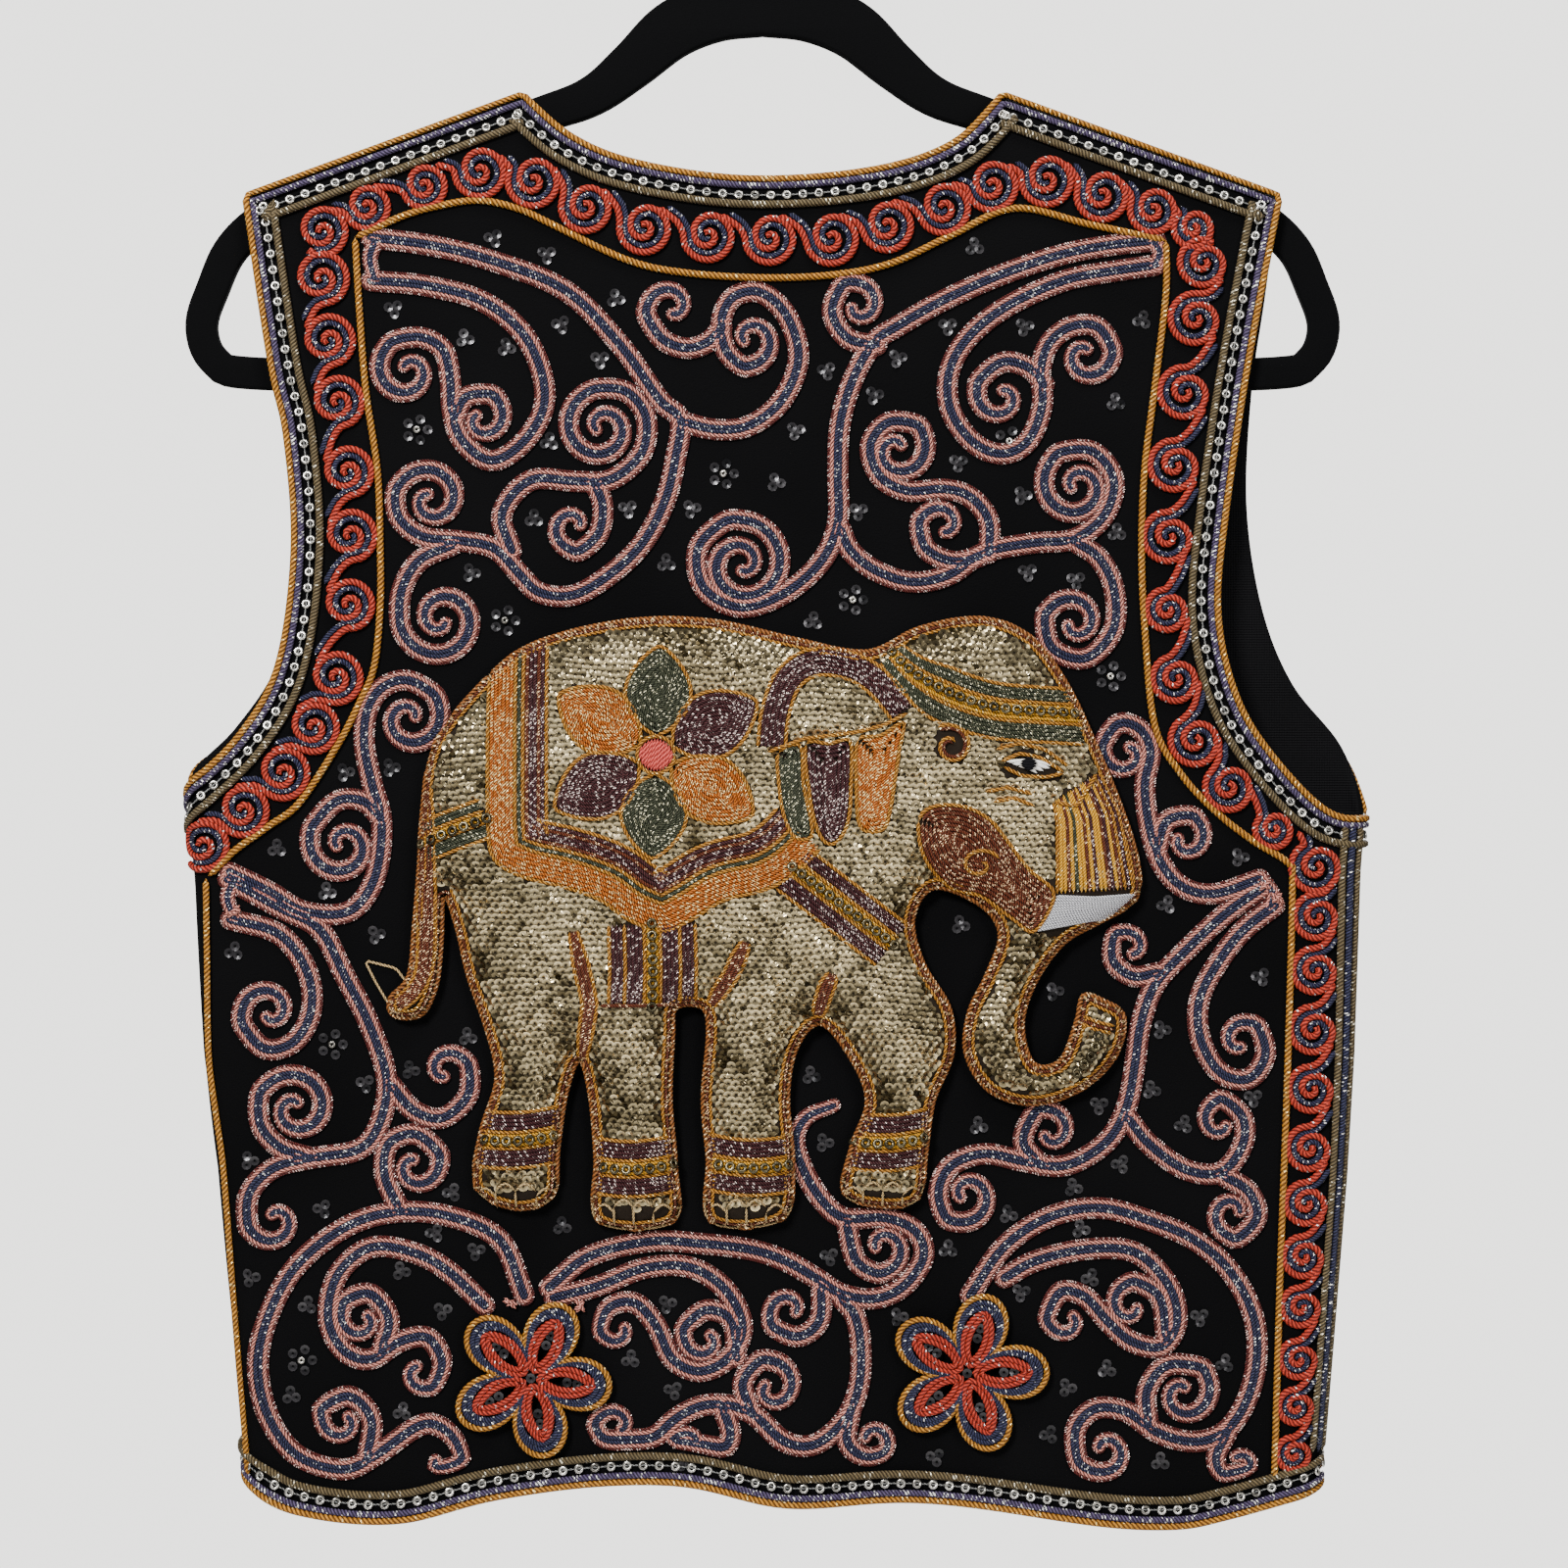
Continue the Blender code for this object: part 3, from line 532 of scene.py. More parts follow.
# Joined tubes along routes of points and ways out of the cloth, with u in metres along each
def layCords(name, routes, radius, finish, sides=6, flatten=0.85):
    paths, outs, breaks, runs, swell = [], [], [], [], []
    total = 0
    for points, out, closed in routes:
        if closed:
            points, out = np.vstack([points, points[:1]]), np.vstack([out, out[:1]])
        total += len(points)
        breaks.append(total)
        paths.append(points)
        outs.append(out)
        runs.append(lineLength(points) + rng.uniform(0, 0.02))
        size = np.ones(len(points))
        if not closed:
            size[0] = size[-1] = 0.02
        swell.append(size)
    tangents = []
    for (points, out, closed), path in zip(routes, paths):
        heading = np.gradient(path, axis=0)
        if closed:
            heading[0] = heading[-1] = path[1] - path[-2]
        tangents.append(heading)
    path, out, run, swell = np.vstack(paths), np.vstack(outs), np.concatenate(runs), np.concatenate(swell)
    tangent = np.vstack(tangents)
    tangent /= np.maximum(np.linalg.norm(tangent, axis=1), 1e-9)[:, None]
    beside = np.cross(tangent, out)
    beside /= np.maximum(np.linalg.norm(beside, axis=1), 1e-9)[:, None]
    up = np.cross(beside, tangent)
    work = bmesh.new()
    bmesh.ops.create_grid(work, x_segments=sides, y_segments=len(path) - 1, size=0.5)
    work.faces.ensure_lookup_table()
    gaps = [work.faces[(stop - 1) * sides + i] for stop in breaks[:-1] for i in range(sides)]
    bmesh.ops.delete(work, geom=gaps, context="FACES_ONLY")
    mesh = meshOf(work, name)
    angles = np.linspace(0, 2 * math.pi, sides + 1)
    angles[-1] = 0.0
    ring = beside[:, None] * np.cos(angles)[None, :, None] + up[:, None] * np.sin(angles)[None, :,
                                                                                          None] * flatten
    setPoints(mesh, (path[:, None] + ring * (radius * swell)[:, None, None]).reshape(-1, 3))
    layer = mesh.uv_layers.new(name="UVMap")
    corners = np.empty(len(mesh.loops), dtype=np.int32)
    mesh.loops.foreach_get("vertex_index", corners)
    uv = np.column_stack([run[corners // (sides + 1)], (corners % (sides + 1)) / sides])
    layer.uv.foreach_set("vector", uv.astype(np.float32).ravel())
    weld(mesh)
    piece = keep(name, mesh, finish)
    return piece


# Copies of a small sample mesh on the cloth, made by Geometry Nodes and realized
def scatter(name, sample, places, outs, tilt, finish, loose=0.08, tones=None):
    seeds = bpy.data.meshes.new(name + "_places")
    seeds.from_pydata([tuple(place) for place in places], [], [])
    turns = []
    for index, out in enumerate(outs):
        out = Vector(out).normalized()
        down = Vector((0, 0, -1)) - out * out.dot(Vector((0, 0, -1)))
        down = down.normalized() if down.length > 1e-4 else Vector((1, 0, 0))
        across = down.cross(out)
        basis = Matrix((across, down, out)).transposed()
        wobble = Matrix.Rotation(tilt + rng.normal(0, loose), 3,
                                 "X") @ Matrix.Rotation(rng.normal(0, loose), 3, "Y")
        twist = Matrix.Rotation(rng.uniform(0, 6.28), 3, "Z")
        turns.append(tuple((basis @ wobble @ twist).to_euler()))
    turnLayer = seeds.attributes.new("turn", "FLOAT_VECTOR", "POINT")
    turnLayer.data.foreach_set("vector", np.array(turns, dtype=np.float32).ravel())
    # tone: the given shares plus random spread; for the elephant's sequins the shares carry painted shade
    # and painted light patches
    toneLayer = seeds.attributes.new("tone", "FLOAT", "POINT")
    tones = 0.55 if tones is None else tones
    toneLayer.data.foreach_set("value", np.clip(tones + rng.normal(0, 0.2, len(places)), 0,
                                                1).astype(np.float32))
    holder = bpy.data.objects.new(name + "_seeds", seeds)
    intoScene(holder)
    bench = bpy.data.objects.new(name + "_sample", sample)
    intoScene(bench)
    group = bpy.data.node_groups.new(name + "_scatter", "GeometryNodeTree")
    group.interface.new_socket("Geometry", in_out="INPUT", socket_type="NodeSocketGeometry")
    group.interface.new_socket("Geometry", in_out="OUTPUT", socket_type="NodeSocketGeometry")
    source = group.nodes.new("NodeGroupInput")
    target = group.nodes.new("NodeGroupOutput")
    info = group.nodes.new("GeometryNodeObjectInfo")
    info.inputs["Object"].default_value = bench
    turn = group.nodes.new("GeometryNodeInputNamedAttribute")
    turn.data_type = "FLOAT_VECTOR"
    turn.inputs["Name"].default_value = "turn"
    put = group.nodes.new("GeometryNodeInstanceOnPoints")
    realize = group.nodes.new("GeometryNodeRealizeInstances")
    link = group.links.new
    link(source.outputs[0], put.inputs["Points"])
    link(info.outputs["Geometry"], put.inputs["Instance"])
    link(turn.outputs["Attribute"], put.inputs["Rotation"])
    link(put.outputs[0], realize.inputs[0])
    link(realize.outputs[0], target.inputs[0])
    modifier = holder.modifiers.new("scatter", "NODES")
    modifier.node_group = group
    bpy.context.view_layer.update()
    mesh = bpy.data.meshes.new_from_object(holder.evaluated_get(bpy.context.evaluated_depsgraph_get()))
    mesh.name = name
    bpy.data.objects.remove(holder)
    bpy.data.objects.remove(bench)
    mesh.shade_smooth()
    piece = keep(name, mesh, finish)
    return piece


# A thin dished disc with a hole
def cuppedSequin(radius, hole, cup, sides=9):
    work = bmesh.new()
    bmesh.ops.create_circle(work, cap_ends=False, radius=radius, segments=sides)
    rim = work.edges[:]
    inner = bmesh.ops.extrude_edge_only(work, edges=rim)["geom"]
    ring = [item for item in inner if isinstance(item, bmesh.types.BMVert)]
    bmesh.ops.scale(work, vec=(hole / radius, hole / radius, 1), verts=ring)
    bmesh.ops.translate(work, vec=(0, 0, -cup), verts=ring)
    bmesh.ops.recalc_face_normals(work, faces=work.faces[:])
    if work.faces[:][0].normal.z < 0:
        bmesh.ops.reverse_faces(work, faces=work.faces[:])
    mesh = meshOf(work, "sequin")
    # rim is 1 on the outer ring and 0 at the hole; the finish uses it to paint shade towards the hole and a
    # lighter rim
    reach = np.array([vert.co.xy.length for vert in mesh.vertices])
    rim = mesh.attributes.new("rim", "FLOAT", "POINT")
    rim.data.foreach_set("value", (reach > (radius + hole) / 2).astype(np.float32))
    return mesh


def ringBead(radius, tube, sides=9, tubeSides=5):
    work = bmesh.new()
    loop = bmesh.ops.create_circle(work, cap_ends=False, radius=tube, segments=tubeSides)["verts"]
    bmesh.ops.rotate(work, matrix=Matrix.Rotation(math.pi / 2, 3, "X"), verts=loop)
    bmesh.ops.translate(work, vec=(radius - tube, 0, 0), verts=loop)
    bmesh.ops.spin(work, geom=work.verts[:] + work.edges[:], axis=(0, 0, 1), cent=(0, 0, 0),
                   angle=2 * math.pi, steps=sides, use_merge=True)
    bmesh.ops.recalc_face_normals(work, faces=work.faces[:])
    mesh = meshOf(work, "ring_bead")
    rim = mesh.attributes.new("rim", "FLOAT", "POINT")
    rim.data.foreach_set("value", np.ones(len(mesh.vertices), dtype=np.float32))
    return mesh


# Camera, lights, pale surroundings and floor

studio = {"lens": 60.0, "sensor": 36.0, "frameWidth": 1600 * photoScale, "middle": (800, 800),
          "clothFace": 8 * mm, "floor": -0.95, "floorRadius": 0.84,
          "ambient": (0.16, 0.164, 0.17), "surroundings": (2.5, 2.47, 2.40)}
centre = spot(*studio["middle"])
camera = bpy.data.cameras.new("camera")
camera.lens = studio["lens"]
camera.sensor_width = studio["sensor"]
viewer = bpy.data.objects.new("camera", camera)
distance = studio["lens"] / studio["sensor"] * studio["frameWidth"]
viewer.location = (centre[0], -distance - studio["clothFace"], centre[1])
viewer.rotation_euler = (math.pi / 2, 0, 0)
intoScene(viewer)
bpy.context.scene.camera = viewer


def areaLight(name, place, size, power, aim):
    lamp = bpy.data.lights.new(name, "AREA")
    lamp.size = size
    lamp.energy = power
    holder = bpy.data.objects.new(name, lamp)
    holder.location = place
    holder.rotation_euler = (Vector(aim) - Vector(place)).to_track_quat("-Z", "Y").to_euler()
    intoScene(holder)


# place, size and power in watts, and the height on the vest that each light points at
lights = {
    "key_light": ((-0.75, -1.35, 0.55), 0.45, 60, -0.36),
    "fill_light": ((1.1, -1.3, -0.2), 0.7, 16, -0.38),
    "top_light": ((0.2, -0.55, 0.9), 0.5, 15, -0.3),
    "back_light": ((0.5, 1.4, 0.4), 1.0, 26, -0.38),
}
for name, (place, size, power, aim) in lights.items():
    areaLight(name, place, size, power, (0, 0, aim))
world = bpy.data.worlds.new("studio")
world.use_nodes = True
tree = world.node_tree
seen = tree.nodes.new("ShaderNodeLightPath")
shade = tree.nodes.new("ShaderNodeMix")
shade.data_type = "RGBA"
shade.inputs[6].default_value = colour(*studio["ambient"])
shade.inputs[7].default_value = colour(*studio["surroundings"])
tree.links.new(seen.outputs["Is Camera Ray"], shade.inputs[0])
tree.links.new(shade.outputs[2], tree.nodes["Background"].inputs[0])
bpy.context.scene.world = world

work = bmesh.new()
bmesh.ops.create_circle(work, cap_ends=True, radius=studio["floorRadius"], segments=128)
bmesh.ops.translate(work, vec=(0, 0, studio["floor"]), verts=work.verts[:])
mesh = meshOf(work, "floor")
floor = bpy.data.objects.new("floor", mesh)
intoScene(floor)
net = Net("pale_floor")
mesh.materials.append(net.finish(Base_Color=colour(0.80, 0.79, 0.77), Roughness=0.9,
                                 Normal=net.bump(net.noise(net.objectPlace(), 40.0, 6.0), 0.002, 0.3)))
print("camera, lights and floor ready")


# Cloth panels

panelSizes = {"rows": 150, "columns": 130, "frontColumns": 64}


def panelGrid(layer, side, rows, columns):
    fine = 2 * mm
    if layer < 0:
        left = np.vstack([seamLine(-1, -1, fine), armholeLine(-1, -1, fine)[1:]])
        right = np.vstack([seamLine(-1, 1, fine), armholeLine(-1, 1, fine)[1:]])
        top = np.vstack([shoulderLine(-1, fine), neckLine(-1, 0, fine)[1:],
                         shoulderLine(1, fine)[::-1][1:]])
        top = evenly(top, lineLength(top)[-1] / columns)
    else:
        left = np.vstack([seamLine(1, side, fine), armholeLine(1, side, fine)[1:]])
        foot = hemHeight(1, side * vest["halfOpening"])
        neck = neckLine(1, side, fine)
        right = np.vstack([[(neck[0, 0], foot)], neck])
        top = evenly(shoulderLine(side, fine), lineLength(shoulderLine(side, fine))[-1] / columns)
    left, right = spread(left, rows + 1), spread(right, rows + 1)
    share = (top[:, 0] - top[0, 0]) / (top[-1, 0] - top[0, 0])
    across = left[0, 0] + share * (right[0, 0] - left[0, 0])
    bottom = np.column_stack([across, hemHeight(layer, across)])
    bottom[0], bottom[-1] = left[0], right[0]
    return patch(left, right, bottom, top)


def clothPanel(name, node, layer, side, columns):
    rows = panelSizes["rows"]
    grid = panelGrid(layer, side, rows, columns)
    work = bmesh.new()
    bmesh.ops.create_grid(work, x_segments=columns, y_segments=rows, size=0.5)
    mesh = meshOf(work, name)
    points, out = cloth(layer, grid[..., 0], grid[..., 1], 0.0)
    setPoints(mesh, points.reshape(-1, 3))
    first = mesh.polygons[len(mesh.polygons) // 2]
    if first.normal.dot(Vector(out.reshape(-1, 3)[first.vertices[0]])) < 0:
        mesh.flip_normals()
    mesh.shade_smooth()
    piece = keep(name, mesh, "velvet", "lining")
    wall = piece.modifiers.new("wall", "SOLIDIFY")
    wall.thickness = vest["wall"]
    wall.offset = 0.0
    wall.material_offset = 1
    wall.material_offset_rim = 0
    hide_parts(node)
    return piece


backVelvet = clothPanel("back_velvet", "back_panel", -1, 0, panelSizes["columns"])
frontLeft = clothPanel("front_left_velvet", "front_left_panel", 1, -1, panelSizes["frontColumns"])
frontRight = clothPanel("front_right_velvet", "front_right_panel", 1, 1, panelSizes["frontColumns"])
print("cloth panels ready")


# Cords, rings and beads along the edges

edging = {"goldRadius": 1.35 * mm, "greyRadius": 1.3 * mm, "oliveRadius": 1.5 * mm, "step": 2.6 * mm,
          "gold": 1.3 * mm, "grey": 3.85 * mm, "beads": 7.6 * mm, "olive": 11.2 * mm,
          "beadStep": 6.2 * mm, "beadRadius": 2.0 * mm, "beadTube": 0.62 * mm, "beadTilt": 0.25,
          "threadRadius": 0.32 * mm, "threadLift": 0.7 * mm, "sink": 0.8, "sideStep": 2.7 * mm,
          "sideRadius": 1.5 * mm, "sideLift": 0.9 * mm, "sideShift": {-1: 0.0, 1: 5.0 * mm}}
edgeRoutes = {"gold": [], "purpleGrey": [], "olive": [], "navy": [], "thread": []}
beadPlaces, beadOuts = [], []


def onCloth(layer, line, lift, closed=False):
    points, out = cloth(layer, line[:, 0], line[:, 1], vest["wall"] / 2 + lift)
    return points, out, closed


# Four rows along an edge: gold at the rim, then purple grey, ring beads and olive
def edgeRun(layer, line, inward):
    line = evenly(line, edging["step"])
    for finish, distance, radius in (("gold", edging["gold"], edging["goldRadius"]),
                                     ("purpleGrey", edging["grey"], edging["greyRadius"]),
                                     ("olive", edging["olive"], edging["oliveRadius"])):
        row = evenly(shifted(line, inward * distance), edging["step"])
        edgeRoutes[finish].append(onCloth(layer, row, radius * edging["sink"]))
    row = evenly(shifted(line, inward * edging["beads"]), edging["beadStep"])
    edgeRoutes["thread"].append(onCloth(layer, row, edging["threadLift"]))
    points, out, _ = onCloth(layer, row, edging["beadTube"] * 1.4)
    beadPlaces.append(points)
    beadOuts.append(out)


fine = 1.5 * mm
outerEdge = np.vstack([armholeLine(-1, -1, fine), shoulderLine(-1, fine)[1:], neckLine(-1, 0, fine)[1:],
                       shoulderLine(1, fine)[::-1][1:], armholeLine(-1, 1, fine)[::-1][1:]])
edgeRun(-1, outerEdge, -1)
leftHem, rightHem = seamLine(-1, -1, fine)[0, 0], seamLine(-1, 1, fine)[0, 0]
hemAcross = np.linspace(leftHem, rightHem, 240)
edgeRun(-1, np.column_stack([hemAcross, hemHeight(-1, hemAcross)]), 1)
for side in (-1, 1):
    neck = neckLine(1, side, fine)
    foot = (neck[0, 0], hemHeight(1, neck[0, 0]))
    edgeRun(1, np.vstack([armholeLine(1, side, fine), shoulderLine(side, fine)[1:], neck[::-1][1:],
                          [foot]]), side)
    hemAcross = np.linspace(seamLine(1, side, fine)[0, 0], foot[0], 120)
    edgeRun(1, np.column_stack([hemAcross, hemHeight(1, hemAcross)]), -side)
    seam = seamLine(-1, side, 4 * mm)[3:-1]
    for row, finish in enumerate(("olive", "navy", "olive")):
        line = shifted(seam, side * ((row + 0.5) * edging["sideStep"] + edging["sideShift"][side]))
        edgeRoutes[finish].append(onCloth(-1, evenly(line, edging["step"]), edging["sideLift"]))

goldEdge = layCords("edge_gold_cord", edgeRoutes["gold"], edging["goldRadius"], "gold")
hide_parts("back_edge_cords", "front_left_edge_cords", "front_right_edge_cords")
layCords("edge_purple_grey_cord", edgeRoutes["purpleGrey"], edging["greyRadius"], "purpleGrey")
layCords("edge_olive_cord", edgeRoutes["olive"], edging["oliveRadius"], "olive")
layCords("side_navy_cord", edgeRoutes["navy"], edging["sideRadius"], "navy")
layCords("edge_bead_thread", edgeRoutes["thread"], edging["threadRadius"], "silver",
         sides=4)
scatter("edge_ring_beads", ringBead(edging["beadRadius"], edging["beadTube"]), np.vstack(beadPlaces),
        np.vstack(beadOuts), edging["beadTilt"], "bead")
print("edges ready")


# Padded elephant

elephantSizes = {"pad": 9.5 * mm, "shoulder": 24 * mm, "edge": 1.6 * mm, "grid": 3.0 * mm,
                 "rowStep": 1.5 * mm, "rowRadius": 0.74 * mm, "step": 1.7 * mm, "sequin": 1.9 * mm,
                 "sequinHole": 0.4 * mm, "sequinCup": 0.55 * mm, "sequinStep": 3.0 * mm,
                 "sequinRow": 2.3 * mm, "sequinTilt": -0.24, "sequinEdge": 4.3 * mm, "jitter": 0.17 * mm,
                 "bead": 2.2 * mm, "beadTube": 0.72 * mm, "beadGap": 4.5 * mm, "beadTilt": 0.25,
                 "creaseAngle": 50}
elephantPoints = [
    (-105, -342), (-86, -329), (-52, -321), (-20, -321), (12, -328), (40, -333), (60, -324), (84, -320),
    (103, -327), (117, -345), (127, -366), (137, -390), (144, -412), (144, -428), (130, -437),
    (116, -445), (105, -460), (100, -476), (104, -491), (114, -490), (120, -476), (123, -465),
    (131, -467), (139, -473), (136, -488), (123, -501), (104, -507), (87, -502), (78, -488), (79, -472),
    (86, -457), (91, -442), (84, -431), (66, -424), (58, -436), (62, -453), (72, -470), (73, -488),
    (66, -505), (63, -525), (60, -543), (46, -546), (31, -541), (34, -523), (40, -505), (33, -488),
    (22, -476), (13, -486), (10, -505), (12, -530), (8, -551), (-20, -552), (-21, -528), (-23, -505),
    (-21, -480), (-23, -470), (-33, -470), (-34, -480), (-35, -505), (-33, -530), (-34, -552),
    (-63, -552), (-64, -528), (-66, -505), (-70, -490), (-75, -503), (-78, -524), (-80, -542),
    (-94, -547), (-110, -539), (-108, -517), (-102, -497), (-106, -478), (-113, -458), (-117, -441),
    (-122, -427), (-123, -446), (-125, -462), (-131, -473), (-142, -473), (-143, -466), (-136, -458),
    (-134, -440), (-132, -415), (-131, -396), (-126, -368),
]
elephantOutline = smoothLine(np.array(elephantPoints) * mm, closed=True, perSpan=2)
elephantLine = smoothLine(np.array(elephantPoints) * mm, closed=True, perSpan=6)


def padHeight(places):
    rise = np.clip(edgeDistance(elephantOutline, places) / elephantSizes["shoulder"], 0, 1)
    height = elephantSizes["edge"] + elephantSizes["pad"] * np.sqrt(1 - (1 - rise) ** 2)
    return np.where(inside(elephantOutline, places), height, 0.0)


# A route over the padding, or on the velvet where it leaves it, and the way out of it
def onElephant(line, lift):
    line = np.asarray(line)
    base = vest["wall"] / 2 + vest["appliqueGap"]
    height = padHeight(line)
    points, out = cloth(-1, line[:, 0], line[:, 1], base + height + lift)
    nudge = 1.2 * mm
    slopeX = (padHeight(line + (nudge, 0)) - padHeight(line - (nudge, 0))) / (2 * nudge)
    slopeZ = (padHeight(line + (0, nudge)) - padHeight(line - (0, nudge))) / (2 * nudge)
    out = out + np.column_stack([-slopeX, np.zeros(len(line)), -slopeZ]).clip(-1.2, 1.2)
    return points, out / np.linalg.norm(out, axis=1)[:, None], False


def elephantBody():
    low, high = elephantOutline.min(axis=0), elephantOutline.max(axis=0)
    step = elephantSizes["grid"]
    heights = np.arange(low[1], high[1], step * 0.866)
    across = np.arange(low[0], high[0], step)
    field = np.array([(x + step / 2 * (row % 2), z) for row, z in enumerate(heights) for x in across])
    field = field[inside(elephantOutline, field)]
    field = field[edgeDistance(elephantOutline, field) > 2.2 * mm]
    rims = [shifted(elephantOutline, side * 1.1 * mm, closed=True) for side in (-1, 1)]
    rims = [rim[inside(elephantOutline, rim)] for rim in rims]
    rims = [rim[edgeDistance(elephantOutline, rim) > 0.8 * mm] for rim in rims]
    count = len(elephantOutline)
    places = [Vector(place) for place in np.vstack([elephantOutline, field] + rims)]
    edges = [(i, (i + 1) % count) for i in range(count)]
    found, _, faces, _, _, _ = geometry.delaunay_2d_cdt(places, edges, [], 1, 1e-7)
    flat = np.array([tuple(place) for place in found])
    work = bmesh.new()
    tag = work.verts.layers.int.new("spot")
    lower = [work.verts.new((*place, 0)) for place in flat]
    for face in faces:
        work.faces.new([lower[i] for i in face])
    for index, vert in enumerate(lower):
        vert[tag] = index
    raised = bmesh.ops.extrude_face_region(work, geom=work.faces[:])["geom"]
    base = vest["wall"] / 2 + vest["appliqueGap"]
    low, _ = cloth(-1, flat[:, 0], flat[:, 1], base)
    high, _ = cloth(-1, flat[:, 0], flat[:, 1], base + np.maximum(padHeight(flat), elephantSizes["edge"]))
    for vert in lower:
        vert.co = low[vert[tag]]
    for vert in raised:
        if isinstance(vert, bmesh.types.BMVert):
            vert.co = high[vert[tag]]
    bmesh.ops.recalc_face_normals(work, faces=work.faces[:])
    mesh = meshOf(work, "elephant_padding")
    mesh.shade_smooth()
    mesh.set_sharp_from_angle(angle=math.radians(elephantSizes["creaseAngle"]))
    return keep("elephant_padding", mesh, "stuffing")


padding = elephantBody()
print("elephant padding ready")

threads = {}                    # finish -> routes of couched cord on the elephant
bareAreas = []                  # outlines where no sequins are sewn
elephantBeads, elephantBeadOuts = [], []
rowStep = elephantSizes["rowStep"]


# One couched row. Only the part that lies on the padding is kept
def couch(finish, line, closed=False, clip=True, lift=0.5 * mm):
    line = np.asarray(line)
    if closed:
        line = np.vstack([line, line[:1]])
    line = evenly(line, elephantSizes["step"])
    if not clip:
        threads.setdefault(finish, []).append(onElephant(line, lift))
        return
    held = inside(elephantOutline, line)
    start = None
    for index, here in enumerate(list(held) + [False]):
        if here and start is None:
            start = index
        if not here and start is not None:
            if index - start > 2:
                threads.setdefault(finish, []).append(onElephant(line[start:index], lift))
            start = None


def stringBeads(line, gap=elephantSizes["beadGap"]):
    row = evenly(line, gap)
    row = row[inside(elephantOutline, row)]
    points, out, _ = onElephant(row, 1.7 * mm)
    elephantBeads.append(points)
    elephantBeadOuts.append(out)


# Rows side by side, from the right of a line to its left; beads lie over a yellow ground
def couchRows(line, finishNames, taper=None, middle=0.0):
    line = evenly(line, elephantSizes["step"])
    count = len(finishNames)
    scale = np.ones(len(line)) if taper is None else np.interp(np.linspace(0, 1, len(line)), *taper)
    for index, finish in enumerate(finishNames):
        row = shifted(line, ((index - (count - 1) / 2) * rowStep + middle) * scale)
        couch("yellow" if finish == "beads" else finish, row)
        if finish == "beads":
            stringBeads(row)
    edge = (count / 2) * rowStep * scale
    bareAreas.append(np.vstack([shifted(line, -edge + middle), shifted(line, edge + middle)[::-1]]))


def signedArea(outline):
    after = np.roll(outline, -1, axis=0)
    return np.sum(outline[:, 0] * after[:, 1] - after[:, 0] * outline[:, 1]) / 2


# The outline moved inwards, without the parts that cross over themselves
def insetLoop(outline, distance):
    way = 1 if signedArea(outline) > 0 else -1
    loop = shifted(outline, way * distance, closed=True)
    loop = loop[inside(outline, loop)]
    return loop[edgeDistance(outline, loop) > distance - 0.12 * mm] if len(loop) else loop


# Closed rows from the rim of a shape to its middle; the last colour goes on to the end
def fillLoops(outline, finishNames, lift=0.5 * mm):
    outline = evenly(np.vstack([outline, outline[:1]]), 0.9 * mm)[:-1]
    bareAreas.append(outline)
    low, high = outline.min(axis=0), outline.max(axis=0)
    inner = np.array([(x, z) for x in np.arange(low[0], high[0], 0.7 * mm)
                      for z in np.arange(low[1], high[1], 0.7 * mm)])
    inner = inner[inside(outline, inner)]
    deepest = edgeDistance(outline, inner).max()
    fromMiddle = inner - inner.mean(axis=0)
    shares = fromMiddle @ np.linalg.svd(fromMiddle, full_matrices=False)[2][0]
    marks = np.linspace(shares.min(), shares.max(), 9)
    spine = np.array([inner[np.abs(shares - mark) < 2.5 * mm].mean(axis=0) for mark in marks])
    for sideways in (0.0, -1.0 * mm, 1.0 * mm):
        row = shifted(spine, sideways)[(1 if sideways else 0):(-1 if sideways else None)]
        couch(finishNames[-1], row, lift=lift - 0.3 * mm)
    count = max(2, round(deepest / rowStep))
    for index in range(count):
        loop = insetLoop(outline, (index + 0.45) * deepest / (count - 0.15))
        if len(loop) > 4:
            couch(finishNames[min(index, len(finishNames) - 1)], loop, closed=True, lift=lift)


def metres(*points):
    return np.array(points) * mm


# A spiral that closes in on its middle, in mm
def swirl(middle, turns, start, stop, squash=1.0):
    reach = np.linspace(start, stop, len(turns))[:, None]
    return metres(*middle) + compass(turns) * (1, squash) * reach * mm


# Saddle cloth: rows along its left and lower edges, and a flower of six petals
saddleEdge = np.vstack([metres((-105.5, -326), (-105.5, -345), (-105.5, -370)),
                        smoothLine(metres((-105.5, -400), (-103, -413), (-92, -420), (-76, -424),
                                          (-62, -429), (-52, -436), (-38, -441), (-26, -436),
                                          (-14, -429), (2, -425), (14, -418), (23, -409)), perSpan=5)])
saddleRows = ["gold"] + ["marigold"] * 6 + ["gold", "green", "gold", "brown"]
saddleRows += ["plum", "plum", "brown", "plum", "gold"]
couchRows(saddleEdge, saddleRows, middle=(len(saddleRows) / 2) * rowStep)
saddleFlower = {"centre": (-40.5, -373), "petals": ["green", "plum", "marigold", "green", "plum",
                                                    "marigold"], "start": 88,
                "lengths": (36, 38, 38, 34, 38, 38), "width": 26.5 * mm, "reach": 6.6 * mm,
                "disc": 6.6 * mm, "stitches": 11, "stitchGap": 1.15 * mm, "stitchDisc": 6.4 * mm,
                "stitchLean": 1.45, "ring": 7.2 * mm}


# A leaf shape whose axis leaves the centre at an angle
def petal(centre, angle, reach, length, width, power=0.75):
    share = np.linspace(0, 1, 20)
    bulge = np.sin(math.pi * share ** 0.92) ** power * width / 2
    axis = reach + share * length
    side = np.vstack([np.column_stack([axis, bulge]), np.column_stack([axis, -bulge])[::-1][1:-1]])
    turn = np.array([[math.cos(angle), math.sin(angle)], [-math.sin(angle), math.cos(angle)]])
    return np.array(centre) + side @ turn


